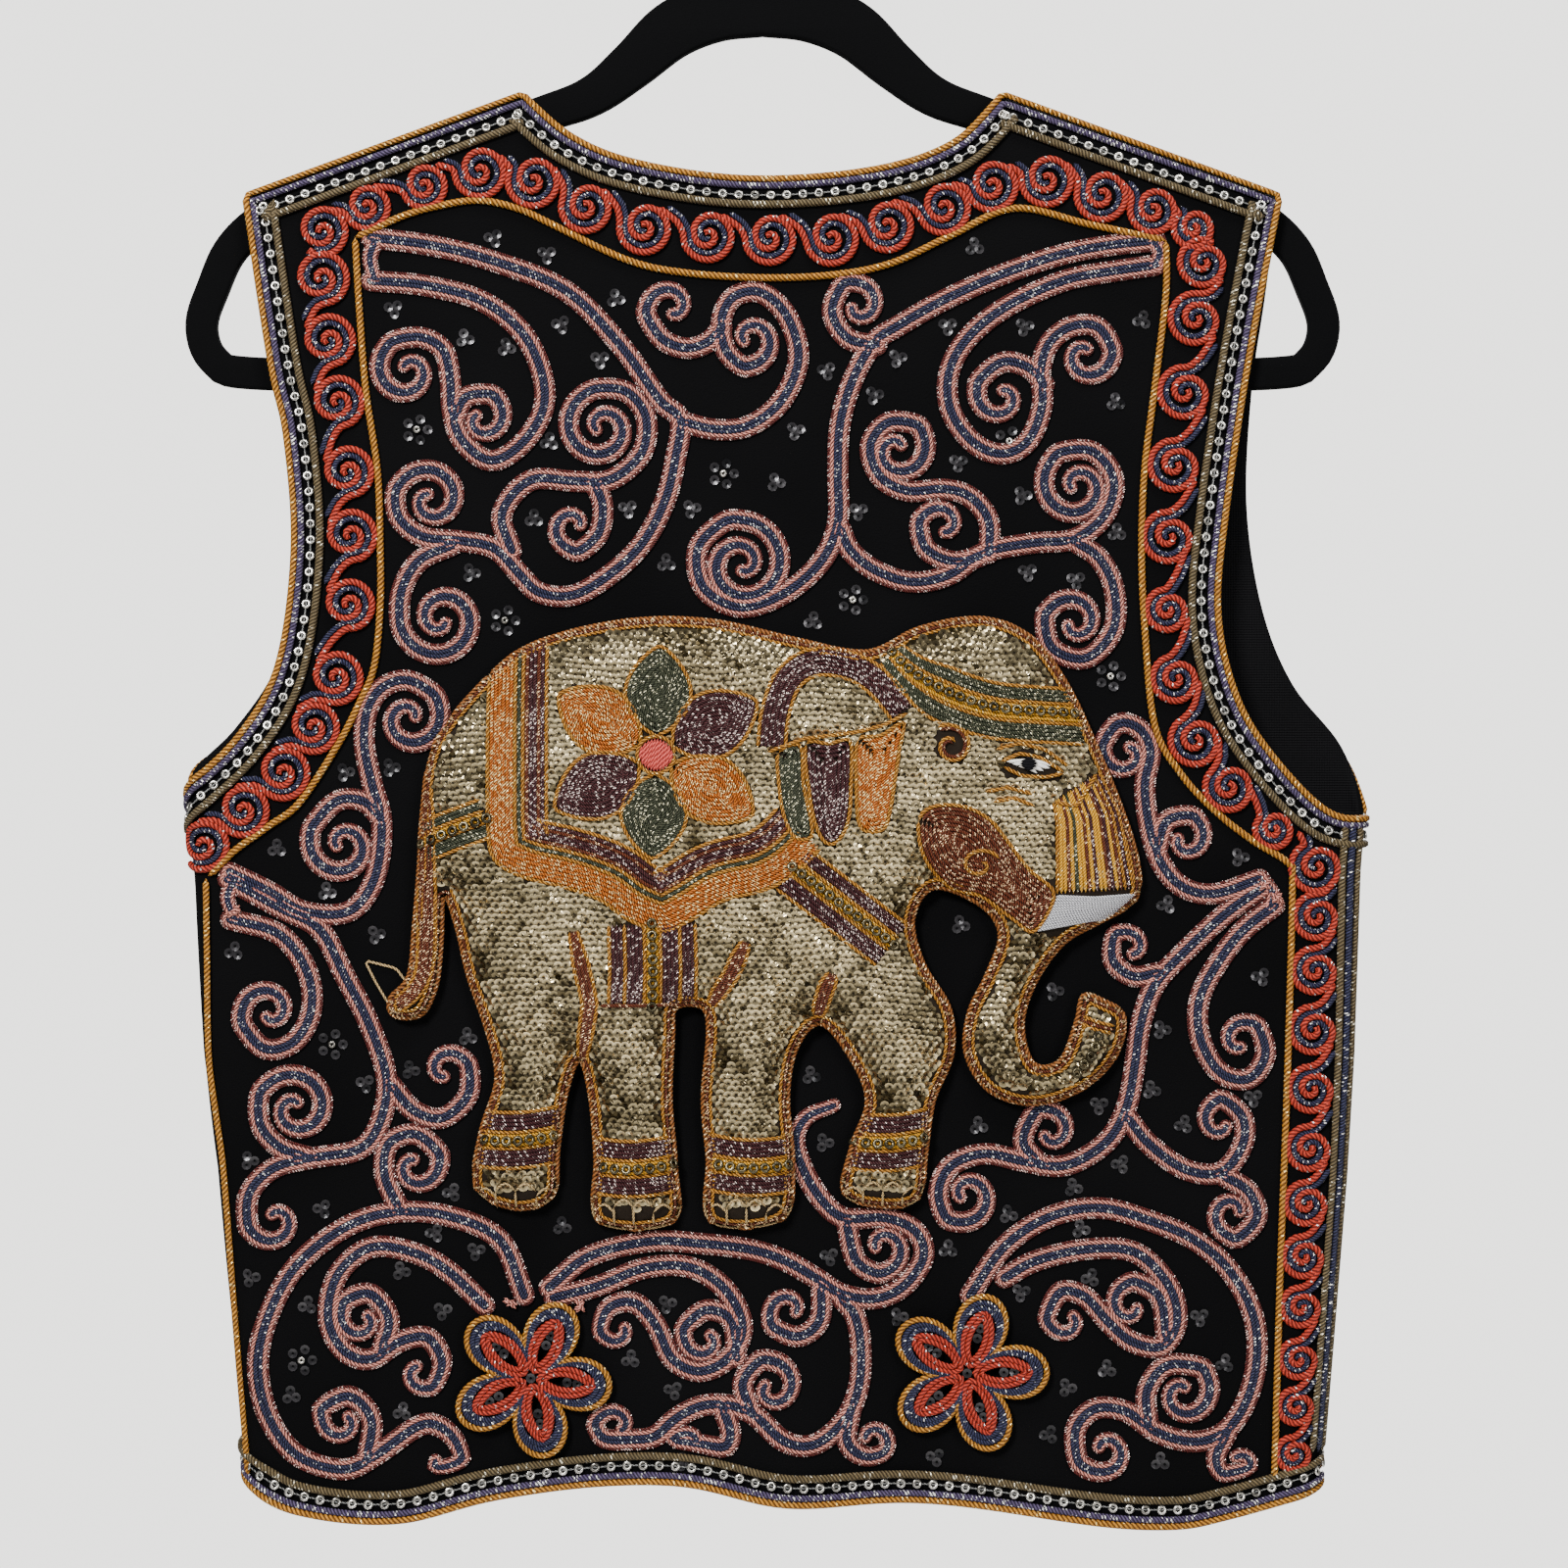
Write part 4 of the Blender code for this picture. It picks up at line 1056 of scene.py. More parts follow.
flowerCentre = np.array(saddleFlower["centre"]) * mm
for index, finish in enumerate(saddleFlower["petals"]):
    angle = math.radians(saddleFlower["start"] - 60 * index)
    leaf = petal(flowerCentre, angle, saddleFlower["reach"], saddleFlower["lengths"][index] * mm,
                 saddleFlower["width"])
    fillLoops(leaf, ["gold", finish], lift=0.7 * mm)
angles = np.linspace(0, 2 * math.pi, 24, endpoint=False)
disc = compass(angles)
bareAreas.append(flowerCentre + disc * saddleFlower["disc"])
for index in range(saddleFlower["stitches"]):
    offset = (index - (saddleFlower["stitches"] - 1) / 2) * saddleFlower["stitchGap"]
    half = math.sqrt(max(saddleFlower["stitchDisc"] ** 2 - offset ** 2, 0))
    lean = compass(saddleFlower["stitchLean"])
    across = flowerCentre + np.array([-lean[1], lean[0]]) * offset
    couch("coral", np.vstack([across - lean * half, across + lean * half]), lift=1.0 * mm)
couch("gold", flowerCentre + disc * saddleFlower["ring"], closed=True, lift=1.1 * mm)

# Ear: an arch of plum rows over sequins, and three lobes of couched loops below
earArch = smoothLine(metres((3.5, -371), (5, -357), (10, -344), (20, -337.5), (34, -339), (45, -346),
                            (54, -357)), perSpan=5)
couchRows(earArch, ["gold"] + ["plum"] * 6 + ["gold"])
earLobes = {
    "green": [(5.8, -371.8), (15, -369), (16.4, -384.5), (19.3, -398), (19, -405), (12, -405),
              (7.6, -396), (5.8, -384.5)],
    "plum": [(16, -368.7), (25.5, -368), (34.2, -367.3), (34.6, -384.5), (33.6, -398), (29.5, -406.3),
             (24.5, -407.5), (20.5, -402), (17.6, -390)],
    "marigold": [(36, -367), (45, -365), (54.5, -359.5), (53, -371), (51, -384.5), (49.5, -394),
                 (47, -401.5), (40.5, -403), (36.3, -399.5), (35.2, -384.5)],
}
couch("gold", metres((2, -372), (16, -366.8), (35, -364.5), (46, -361.8), (55.5, -357)), lift=1.3 * mm)
for finish, lobe in earLobes.items():
    fillLoops(smoothLine(metres(*lobe), closed=True, perSpan=5), ["gold", finish], lift=0.8 * mm)

# Head-dress: arcs that widen from the back of the head to the brow
browArc = smoothLine(metres((49, -334), (58, -343), (72, -351), (88, -356), (104, -357.5),
                            (124, -358.5)), perSpan=6)
couchRows(browArc, ["gold", "green", "green", "green", "green", "gold", "yellow", "yellow", "beads",
                    "yellow", "gold", "green", "green", "green", "gold"],
          taper=([0, 0.3, 0.75, 1], [0.5, 1.0, 1.0, 1.0]))
curlMiddle = (72, -369.5)
for finish, start, stop in (("gold", 8.6, 2.2), ("brown", 7.2, 1.0)):
    couch(finish, swirl(curlMiddle, np.linspace(2.2, -5.6, 34), start, stop), lift=0.8 * mm)
bareAreas.append(metres(*curlMiddle) + disc * 7 * mm)

# Cheek, forehead ornament and tusk
cheek = smoothLine(metres((59, -398), (65, -392), (77, -392), (87, -397), (93, -404), (102, -416),
                          (112, -426), (104, -441), (95, -436), (84, -428), (71, -424), (61, -412)),
                   closed=True, perSpan=5)
fillLoops(cheek, ["gold", "brown"], lift=0.8 * mm)
couch("gold", swirl((83, -415), np.linspace(0.4, 7.6, 26), 8, 1.5, 0.8), lift=1.5 * mm)
ornamentRows = ["gold", "yellow", "yellow", "brown", "yellow", "green", "yellow", "yellow", "brown",
                "yellow", "plum", "yellow", "yellow", "brown", "plum", "yellow", "brown", "gold", "plum",
                "gold"]
for index, finish in enumerate(ornamentRows):
    share = index / (len(ornamentRows) - 1)
    top = np.array([111 + 17.5 * share, -390.5 + 11.5 * share])
    bend = np.array([112.5 + 24 * share, -399 + 4 * share])
    couch(finish, metres(top, bend, (112.5 + 29.5 * share, -426 + 1.5 * share)), lift=0.6 * mm)
bareAreas.append(metres((110.5, -390), (128.5, -378.5), (144, -408), (145, -427), (111, -427)))
couch("gold", metres((111, -391), (120, -392.5), (128, -380)), lift=1.2 * mm)
for index in range(12):
    share = index / 11
    couch("white", metres((103.5 + 8 * (1 - share), -440 + 13 * (1 - share)), (127, -427.6 - 8.4 * share),
                          (143.5 - 11 * share, -426.5 - 10 * share)), clip=False, lift=0.6 * mm)
bareAreas.append(metres((101, -441), (111, -427), (145, -427), (144, -435), (118, -443)))

# Eye
for row in range(4):
    half = 9.5 - row * 2.4
    couch("eyeWhite", metres((102.5 - half, -375.5 - row), (102.5, -375 - row),
                             (102.5 + half, -377 - row)), lift=0.8 * mm)
for row, half in enumerate((2.0, 3.1, 3.6, 3.1, 2.0)):
    couch("pupil", metres((101.5 - half, -374.2 - row), (101.5, -374.3 - row),
                          (101.5 + half, -374.2 - row)), lift=2.0 * mm)
couch("gold", metres((91, -375.5), (98, -372.4), (106, -374), (115, -379.5)), lift=1.0 * mm)
couch("gold", metres((92, -377.5), (99, -381), (108, -381.5), (115, -380)), lift=0.9 * mm)
couch("gold", metres((89, -371), (98, -368.5), (108, -371), (117, -377.5)), lift=0.7 * mm)
couch("gold", metres((85, -387), (94, -385.5), (103, -388)), lift=0.8 * mm)
couch("gold", metres((88, -391), (96, -389.5), (104, -392.5)), lift=0.8 * mm)
bareAreas.append(metres((91, -382), (92, -373), (101, -369.5), (110, -374), (113, -383)))

# Leg bands, straps, seams between the legs, tail
legBands = [(-93, -507.7, 0.06, 22), (-49.5, -518.6, 0.02, 20), (-5.5, -518, -0.03, 20),
            (50.5, -508.6, 0.08, 20)]
beadedRows = ["gold", "yellow", "beads", "yellow", "gold"]
bandRows = ["gold"] + ["plum"] * 4 + beadedRows + ["plum"] * 4 + ["gold"]
girthRows = ["gold"] + ["plum"] * 3 + bandRows + ["plum"] * 3 + ["gold"]
chestRows = ["gold"] + ["plum"] * 4 + beadedRows + ["plum"] * 3 + ["gold"]
rumpRows = ["gold"] + ["green"] * 3 + ["gold", "beads", "yellow", "gold", "green", "green", "gold"]
seamRows = ["gold", "brown", "brown", "brown", "gold"]
for middleX, top, tilt, reach in legBands:
    run = np.linspace(-reach, reach, 12)
    height = top - 10 + run * tilt - 2 * (1 - (run / reach) ** 2)
    couchRows(np.column_stack([middleX + run, height]) * mm, bandRows[::-1])
couchRows(metres((-42, -437), (-41.5, -455), (-42, -469)), girthRows)
couch("brown", metres((-62, -468.5), (-50, -468.5), (-36, -468.5), (-24, -468.5)), lift=0.9 * mm)
couchRows(metres((11, -416), (28, -429), (50, -446)), chestRows)
couchRows(metres((-131, -407), (-120, -402.5), (-105, -397)), rumpRows)
for line in (metres((-72, -440), (-68.5, -455), (-65.5, -468), (-69, -490)),
             metres((-6, -444), (-12, -457), (-20, -469)),
             metres((27, -456), (24, -463), (21, -473))):
    couchRows(line, seamRows, taper=([0, 0.25, 0.8, 1], [0.5, 1.0, 0.9, 0.5]))
tail = smoothLine(metres((-129, -385), (-129, -402), (-128.5, -430), (-129, -453), (-133, -463),
                         (-140, -469)), perSpan=5)
couchRows(tail, ["gold", "brown", "brown", "brown", "brown", "gold"],
          taper=([0, 0.2, 0.7, 1], [0.6, 1.0, 0.9, 0.7]))
tuft = metres((-134, -461), (-138, -459), (-141, -455), (-153, -452), (-149, -460), (-143, -470),
              (-139, -472))
couch("cream", evenly(tuft, 1.5 * mm), closed=True, clip=False, lift=0.6 * mm)

# Outline: a gold cord at the rim, copper brown rows inside it and short tie stitches across
rim = evenly(np.vstack([elephantLine, elephantLine[:1]]), 1.3 * mm)[:-1]
inwards = 1 if signedArea(rim) > 0 else -1
couch("bronze", shifted(rim, inwards * 0.4 * mm, closed=True), closed=True, clip=False, lift=0.3 * mm)
for finish, offset in (("brown", 1.9), ("gold", 3.2)):      # how far inside the rim
    loop = insetLoop(rim, offset * mm)
    stops = np.nonzero(np.linalg.norm(np.diff(loop, axis=0), axis=1) > 4 * mm)[0] + 1
    for part in np.split(loop, stops):
        if len(part) > 4:
            couch(finish, part, clip=False, lift=0.4 * mm)
outer = shifted(rim, -inwards * 0.7 * mm, closed=True)
inner = shifted(rim, inwards * 2.9 * mm, closed=True)
for index in range(0, len(rim), 4):
    couch("cream", np.vstack([outer[index], (outer[index] + inner[index]) / 2, inner[index]]),
          clip=False, lift=1.0 * mm)

# Toes: dark pads with pale stitches round the foot of each leg
for middleX, foot, half in ((-94, -543, 15.5), (-49, -549, 15), (-6, -549, 15), (46, -542.5, 15)):
    bareAreas.append(metres((middleX - 18, foot + 6), (middleX, foot + 3), (middleX + 18, foot + 6),
                            (middleX + 18, foot - 9), (middleX - 18, foot - 9)))
    for toe in range(4):
        left = middleX - half + toe * half / 2
        share = (toe - 1.5) / 1.5
        top = foot + 4 - 2.5 * share ** 2
        nail = [(left + half / 2 * j / 6, top + 3.2 * math.sin(math.pi * j / 6)) for j in range(7)]
        couch("cream", metres(*nail), lift=1.0 * mm)
        if toe:
            couch("cream", metres(nail[0], (nail[0][0], foot - 4)), clip=False, lift=1.0 * mm)
    low = rim[(rim[:, 1] < (foot + 5) * mm) & (np.abs(rim[:, 0] - middleX * mm) < 19 * mm)]
    low = low[np.argsort(low[:, 0])]
    couch("cream", evenly(low, 1.3 * mm), clip=False, lift=1.5 * mm)

# Trunk tip: a band, and ring beads on its bend
couchRows(metres((121.5, -474), (128, -476.5), (134.5, -478)), ["gold", "brown", "gold"])
stringBeads(metres((128, -480), (126, -487), (120, -494)), 4.4 * mm)

rowRadii = {"white": 0.7 * mm, "cream": 0.5 * mm, "bronze": 1.25 * mm}
for finish, routes in threads.items():
    radius = rowRadii.get(finish, elephantSizes["rowRadius"])
    layCords("elephant_" + finish.lower() + "_rows", routes, radius, finish,
             sides=5 if finish == "cream" else 6, flatten=0.8)
scatter("elephant_ring_beads", ringBead(elephantSizes["bead"], elephantSizes["beadTube"]),
        np.vstack(elephantBeads), np.vstack(elephantBeadOuts), elephantSizes["beadTilt"], "oliveBead")

# Sequins overlap like shingles wherever nothing is couched; their tone carries painted shade, darker where
# the padding rolls over, and broad patches of painted light and shade
step, rowGap = elephantSizes["sequinStep"], elephantSizes["sequinRow"]
low, high = elephantOutline.min(axis=0), elephantOutline.max(axis=0)
field = []
for row, z in enumerate(np.arange(low[1], high[1], rowGap)):
    for x in np.arange(low[0], high[0], step):
        wave = 0.9 * mm * math.sin(x * 60) + 0.6 * mm * math.sin(x * 140 + z * 90)
        field.append((x + step / 2 * (row % 2), z + wave))
field = np.array(field)
field = field + rng.normal(0, elephantSizes["jitter"], field.shape)
field = field[inside(elephantOutline, field)]
field = field[edgeDistance(elephantOutline, field) > elephantSizes["sequinEdge"]]
for shape in bareAreas:
    field = field[~inside(shape, field)]
points, out, _ = onElephant(field, 0.7 * mm)
# broad waves of painted light and shade in the sequins' tone
paintedLightPatches = np.sin(field[:, 0] * 130 + 2 * np.sin(field[:, 1] * 90))
paintedLightPatches = (paintedLightPatches + np.sin(field[:, 1] * 170 + field[:, 0] * 60)) * 0.13
# painted shade, darker near the outline where the padding rolls over
paintedRollShade = np.exp(-edgeDistance(elephantOutline, field) / (7 * mm))
sample = cuppedSequin(elephantSizes["sequin"], elephantSizes["sequinHole"], elephantSizes["sequinCup"],
                      10)
scatter("elephant_sequins", sample, points, out, elephantSizes["sequinTilt"], "sequin",
        loose=0.09, tones=0.62 + paintedLightPatches - 0.6 * paintedRollShade)
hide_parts("elephant_body", "elephant_saddle_cloth", "elephant_ear", "elephant_head_dress")
print("elephant ready:", len(field), "sequins")


# Border of double spirals between the edge cords and the gold frame line

border = {"radius": 9.6 * mm, "smallest": 6.5 * mm, "inset": 2.5 * mm, "orange": 1.35 * mm,
          "navy": 1.1 * mm, "step": 1.3 * mm, "frameGap": 2.2 * mm, "overlap": 1.4 * mm,
          "farthestPush": 3 * mm, "rounds": 3, "frameRadius": 1.35 * mm, "frameLift": 1.1 * mm,
          "samples": {"orange": 36, "navy": 27}, "turns": (0.0, 0.5, 0.75, 1.0, 1.25, 1.5, 1.75, 2.0),
          "drops": (0.0, 0.2 * mm, 1.6 * mm, 4.2 * mm, 5.6 * mm, 6.8 * mm, 7.9 * mm, 8.9 * mm)}
stops = spots(
    (207, 862), (247, 826), (290, 790), (324, 745), (343, 692), (350, 617), (352, 547), (352, 482),
    (346, 410), (338, 347), (328, 284), (318, 226), (372, 207), (432, 190), (489, 176), (541, 189),
    (597, 211), (657, 232), (722, 240), (785, 243), (848, 243), (905, 230), (962, 210), (1012, 189),
    (1068, 183), (1125, 196), (1178, 209), (1226, 222), (1236, 268), (1222, 325), (1210, 400),
    (1202, 475), (1197, 548), (1192, 622), (1201, 692), (1225, 752), (1260, 797), (1303, 841),
    (1350, 884), (1348, 935), (1345, 990), (1341, 1050), (1336, 1110), (1332, 1170), (1329, 1226),
    (1326, 1280), (1324, 1331), (1321, 1384), (1319, 1432), (1317, 1480),
)
frameLine = [
    spots((214, 894), (240, 868), (276, 842), (306, 819), (345, 760), (368, 715), (382, 680), (388, 620),
          (388, 560), (385, 480), (373, 398), (366, 310), (362, 242)),
    spots((362, 242), (413, 219), (455, 208), (491, 204), (530, 213), (560, 227), (640, 265), (700, 278),
          (778, 283), (850, 280), (910, 268), (970, 240), (1035, 212), (1110, 228), (1190, 245)),
    spots((1190, 245), (1190, 300), (1178, 400), (1168, 480), (1165, 560), (1168, 640), (1178, 740),
          (1205, 790), (1240, 828), (1278, 858), (1314, 881), (1318, 905), (1312, 1100), (1304, 1300),
          (1298, 1508)),
    spots((212, 896), (214, 980), (216, 1078), (224, 1140), (232, 1200), (243, 1350), (255, 1505)),
]
spiralRoutes = {"orange": [], "navy": []}
inner = np.vstack([frameLine[0], frameLine[1][1:], frameLine[2][1:]])
bounds = np.vstack([outerEdge, seamLine(-1, 1, fine)[::-1]])
band = edging["olive"] + edging["oliveRadius"] + border["orange"]


def nearest(line, places):
    line = evenly(line, 1.0 * mm)
    return line[np.argmin(np.linalg.norm(places[:, None] - line[None], axis=2), axis=1)]


# each spiral moves sideways until it has as much room towards the edge as towards the frame line
for _ in range(border["rounds"]):
    outward, homeward = stops - nearest(bounds, stops), stops - nearest(inner, stops)
    outerRoom, innerRoom = np.linalg.norm(outward, axis=1), np.linalg.norm(homeward, axis=1)
    push = np.clip(((innerRoom - border["frameGap"]) - (outerRoom - band)) / 2, -border["farthestPush"],
                   border["farthestPush"])
    push = np.where(np.minimum(outerRoom - band, innerRoom - border["frameGap"]) < border["radius"],
                    push, 0)
    stops = stops + outward / outerRoom[:, None] * push[:, None] / 2
    stops = stops - homeward / innerRoom[:, None] * push[:, None] / 2
spare = np.minimum(outerRoom - band, innerRoom - border["frameGap"]) + border["overlap"]
for index, middle in enumerate(stops):
    before, after = stops[max(index - 1, 0)], stops[min(index + 1, len(stops) - 1)]
    gaps = [np.linalg.norm(middle - before), np.linalg.norm(after - middle)]
    room = max(gaps) if min(gaps) == 0 else sum(gaps) / 2
    size = max(min(border["radius"], room * 0.485, spare[index]), border["smallest"])
    size *= 1 + rng.normal(0, 0.02)
    way = after - before
    way /= np.linalg.norm(way)
    side = np.array([-way[1], way[0]])
    spin = np.linspace(0, border["turns"][-1], border["samples"]["orange"])
    angles = math.atan2(-way[1], -way[0]) + 2 * math.pi * spin
    reach = size - np.interp(spin, border["turns"], border["drops"]) * size / border["radius"]
    curl = middle + compass(angles) * np.maximum(reach, 0.7 * mm)[:, None]
    lead = []
    if index:
        lead = [before + way * size * 0.50 + side * size * 0.86,
                (before + middle) / 2 + side * size * 0.42]
    for finish, inset in (("orange", 0.0), ("navy", border["inset"])):
        line = np.vstack(lead + [curl[:border["samples"][finish]]])
        line = evenly(smoothLine(line, perSpan=2), border["step"])
        line = shifted(line, inset)[0 if finish == "orange" else 2:]
        spiralRoutes[finish].append(onCloth(-1, line, border[finish] * 0.8))
for finish, routes in spiralRoutes.items():
    layCords("border_" + finish + "_spirals", routes, border[finish], finish)

frameRoutes = [onCloth(-1, evenly(smoothLine(line), 2.2 * mm), border["frameLift"]) for line in frameLine]
layCords("gold_frame_cord", frameRoutes, border["frameRadius"], "gold")
print("border ready")


# Scrolling ribbons: maroon, pink, navy, pink and maroon cords side by side

ribbon = {"pitch": 9.8 * mm, "heart": 2.4 * mm, "navy": 0.8 * mm, "pink": 2.35 * mm, "maroon": 3.55 * mm,
          "navyRadius": 0.92 * mm, "pinkRadius": 0.78 * mm, "maroonRadius": 0.66 * mm, "step": 1.7 * mm,
          "tip": 0.6, "tipLength": 30 * mm, "hemGap": 1.2 * mm, "hemEase": 2.5 * mm}


# A stem through the pixels that curls into a spiral round its heart, or ends plainly without one
def vine(heart, *pixels):
    stem = spots(*pixels)
    if heart is None:
        return evenly(smoothLine(stem), ribbon["step"])
    middle = np.array(spot(*heart))
    arm, travel = stem[-1] - middle, stem[-1] - stem[-2]
    way = 1 if arm[0] * travel[1] - arm[1] * travel[0] > 0 else -1
    reach = np.linalg.norm(arm)
    turns = max((reach - ribbon["heart"]) / ribbon["pitch"], 0.3)
    spin = np.linspace(0, 2 * math.pi * turns, max(6, int(turns * 16)))[1:]
    angles = math.atan2(arm[1], arm[0]) + way * spin
    radii = reach - (reach - ribbon["heart"]) * spin / spin[-1]
    curl = middle + compass(angles) * radii[:, None]
    return evenly(smoothLine(np.vstack([stem, curl]), perSpan=5), ribbon["step"])


vines = [
    # short joins between the starts of the ribbons
    vine(None, (382, 246), (377, 264), (382, 284)),
    vine(None, (240, 898), (233, 916), (240, 936)),
    vine(None, (1178, 247), (1184, 258), (1178, 270)),
    vine(None, (1288, 900), (1298, 911), (1296, 924)),
    # upper left
    vine((439, 510), (378, 242), (440, 250), (500, 265), (577, 296), (633, 352), (673, 408), (694, 428),
         (689, 469), (679, 510), (658, 551), (628, 582), (587, 607), (551, 605), (531, 587), (505, 560),
         (470, 552), (432, 548), (408, 530), (403, 505)),
    vine((450, 632), (462, 556), (428, 572), (410, 602), (408, 634)),
    vine((765, 346), (696, 430), (730, 438), (765, 434), (798, 408), (815, 365), (803, 322), (776, 298),
         (748, 303), (736, 327), (740, 356), (757, 373)),
    vine((685, 314), (737, 333), (722, 349), (700, 355), (676, 346), (660, 322)),
    vine((416, 378), (378, 286), (434, 291), (490, 306), (531, 337), (552, 378), (554, 418), (531, 454),
         (500, 470), (471, 449), (461, 418), (459, 385), (452, 357), (430, 344), (403, 347)),
    vine((491, 427), (464, 425), (475, 405), (500, 402)),
    vine((614, 436), (522, 562), (512, 524), (541, 490), (587, 491), (624, 489), (655, 462), (659, 425),
         (640, 400), (612, 396)),
    vine((586, 537), (606, 492), (615, 515), (611, 544), (592, 562)),
    # left side
    vine((418, 733), (235, 890), (276, 910), (311, 930), (357, 930), (383, 896), (390, 841), (380, 800),
         (372, 760), (375, 725), (390, 702), (415, 694), (441, 707)),
    vine((350, 862), (388, 834), (372, 818), (345, 817), (321, 841)),
    vine((276, 1032), (236, 938), (286, 953), (314, 990), (319, 1030), (302, 1062), (272, 1070),
         (250, 1047)),
    vine((282, 1243), (233, 897), (286, 926), (327, 948), (352, 994), (378, 1045), (396, 1101),
         (388, 1147), (367, 1172), (322, 1180), (282, 1190), (257, 1215), (255, 1246)),
    vine((303, 1130), (318, 1180), (288, 1170), (268, 1148), (266, 1118)),
    vine((456, 1092), (400, 1106), (423, 1132), (452, 1140), (478, 1118), (480, 1090)),
    vine((425, 1188), (410, 1234), (394, 1198), (398, 1166), (425, 1156), (448, 1174)),
    # lower left
    vine((453, 1488), (536, 1320), (512, 1264), (462, 1240), (408, 1235), (357, 1249), (306, 1288),
         (276, 1341), (266, 1392), (277, 1443), (306, 1482), (352, 1497), (388, 1479), (434, 1449),
         (462, 1460), (473, 1484)),
    vine((353, 1445), (378, 1482), (382, 1444), (360, 1421), (333, 1432)),
    vine((431, 1396), (496, 1330), (459, 1295), (423, 1276), (380, 1271), (347, 1298), (337, 1341),
         (352, 1374), (380, 1384), (410, 1366), (438, 1362), (453, 1386), (445, 1410)),
    vine((372, 1343), (392, 1374), (399, 1343), (380, 1318), (356, 1324)),
    vine(None, (561, 1312), (602, 1280), (663, 1265), (714, 1267), (765, 1273), (800, 1284), (831, 1301),
         (858, 1318), (892, 1323), (922, 1310), (942, 1280), (933, 1254), (902, 1241), (858, 1240),
         (828, 1208), (812, 1167), (822, 1140), (851, 1127)),
    vine((899, 1271), (864, 1248), (873, 1284), (893, 1297)),
    vine((632, 1353), (566, 1322), (612, 1310), (658, 1292), (704, 1291), (740, 1313), (758, 1350),
         (744, 1382), (714, 1396), (686, 1383), (670, 1350), (648, 1327), (622, 1332), (613, 1354)),
    vine((720, 1363), (752, 1382), (747, 1345), (722, 1334), (700, 1350)),
    vine((630, 1454), (858, 1322), (872, 1340), (878, 1371), (876, 1412), (861, 1446), (831, 1470),
         (800, 1466), (765, 1436), (724, 1429), (689, 1445), (658, 1478), (624, 1478), (608, 1454)),
    vine((806, 1335), (838, 1312), (836, 1345), (815, 1361), (790, 1352)),
    vine((706, 1472), (738, 1432), (746, 1462), (730, 1490), (702, 1495)),
    vine((787, 1412), (768, 1438), (758, 1408), (774, 1386)),
    vine((888, 1467), (868, 1436), (864, 1468), (884, 1491)),
    # lower right
    vine((1124, 1475), (989, 1320), (1024, 1270), (1070, 1240), (1121, 1231), (1172, 1244), (1218, 1264),
         (1254, 1296), (1277, 1341), (1280, 1387), (1269, 1428), (1247, 1458), (1215, 1467),
         (1178, 1457), (1147, 1436), (1116, 1433), (1096, 1453), (1097, 1484)),
    vine((1260, 1490), (1250, 1458), (1238, 1484), (1246, 1508)),
    vine((1205, 1418), (1169, 1448), (1168, 1415), (1188, 1390), (1222, 1392)),
    vine((1088, 1343), (1024, 1302), (1055, 1285), (1106, 1273), (1157, 1276), (1191, 1310),
         (1199, 1346), (1183, 1371), (1153, 1366), (1129, 1346), (1106, 1321), (1081, 1316),
         (1067, 1341)),
    vine((1153, 1330), (1188, 1362), (1182, 1322), (1158, 1306)),
    # right side
    vine((985, 1218), (1290, 904), (1249, 933), (1208, 971), (1178, 1004), (1163, 1045), (1157, 1086),
         (1148, 1130), (1127, 1165), (1086, 1188), (1045, 1184), (1004, 1176), (970, 1188), (957, 1214),
         (964, 1240)),
    vine((1070, 1154), (1062, 1188), (1043, 1164), (1056, 1133)),
    vine((1245, 1144), (1150, 1140), (1172, 1167), (1208, 1192), (1244, 1195), (1266, 1168),
         (1267, 1140), (1247, 1121)),
    vine((1257, 1236), (1246, 1198), (1272, 1214), (1281, 1240), (1262, 1261)),
    vine((1265, 1062), (1300, 924), (1269, 948), (1244, 979), (1223, 1019), (1224, 1060), (1244, 1094),
         (1273, 1100), (1290, 1076), (1283, 1048)),
    vine((1152, 968), (1182, 992), (1155, 996), (1135, 980), (1136, 955)),
    vine((1149, 768), (1285, 897), (1239, 912), (1206, 905), (1184, 880), (1172, 841), (1168, 800),
         (1174, 768), (1164, 745), (1142, 738), (1126, 758)),
    vine((1208, 856), (1180, 868), (1190, 838), (1214, 832)),
    # upper right
    vine((757, 576), (1180, 245), (1132, 250), (1081, 260), (1019, 281), (963, 306), (917, 332),
         (892, 349), (870, 388), (857, 434), (855, 485), (855, 533), (838, 573), (800, 606), (755, 620),
         (718, 600), (712, 560), (738, 533)),
    vine((875, 312), (895, 352), (865, 345), (849, 318), (860, 290)),
    vine((1099, 496), (858, 540), (868, 562), (893, 582), (930, 594), (968, 587), (1004, 564),
         (1055, 554), (1096, 550), (1127, 526), (1137, 490), (1116, 461), (1084, 461)),
    vine((1096, 636), (1096, 552), (1122, 570), (1137, 602), (1136, 643), (1108, 672), (1074, 662),
         (1066, 632)),
    vine((916, 459), (1009, 565), (1009, 531), (990, 507), (963, 499), (926, 501), (898, 486),
         (888, 455), (906, 431), (935, 433)),
    vine((962, 537), (1000, 568), (972, 573), (945, 560), (938, 535)),
    vine((1108, 362), (1180, 270), (1132, 277), (1086, 286), (1030, 311), (990, 342), (969, 378),
         (970, 418), (994, 452), (1024, 463), (1050, 449), (1064, 412), (1062, 378), (1071, 350),
         (1093, 333), (1120, 333), (1135, 355)),
    vine((1022, 404), (1066, 392), (1050, 375), (1024, 369), (1001, 386)),
]
scrolls = {"navy": [], "pink": [], "maroon": []}
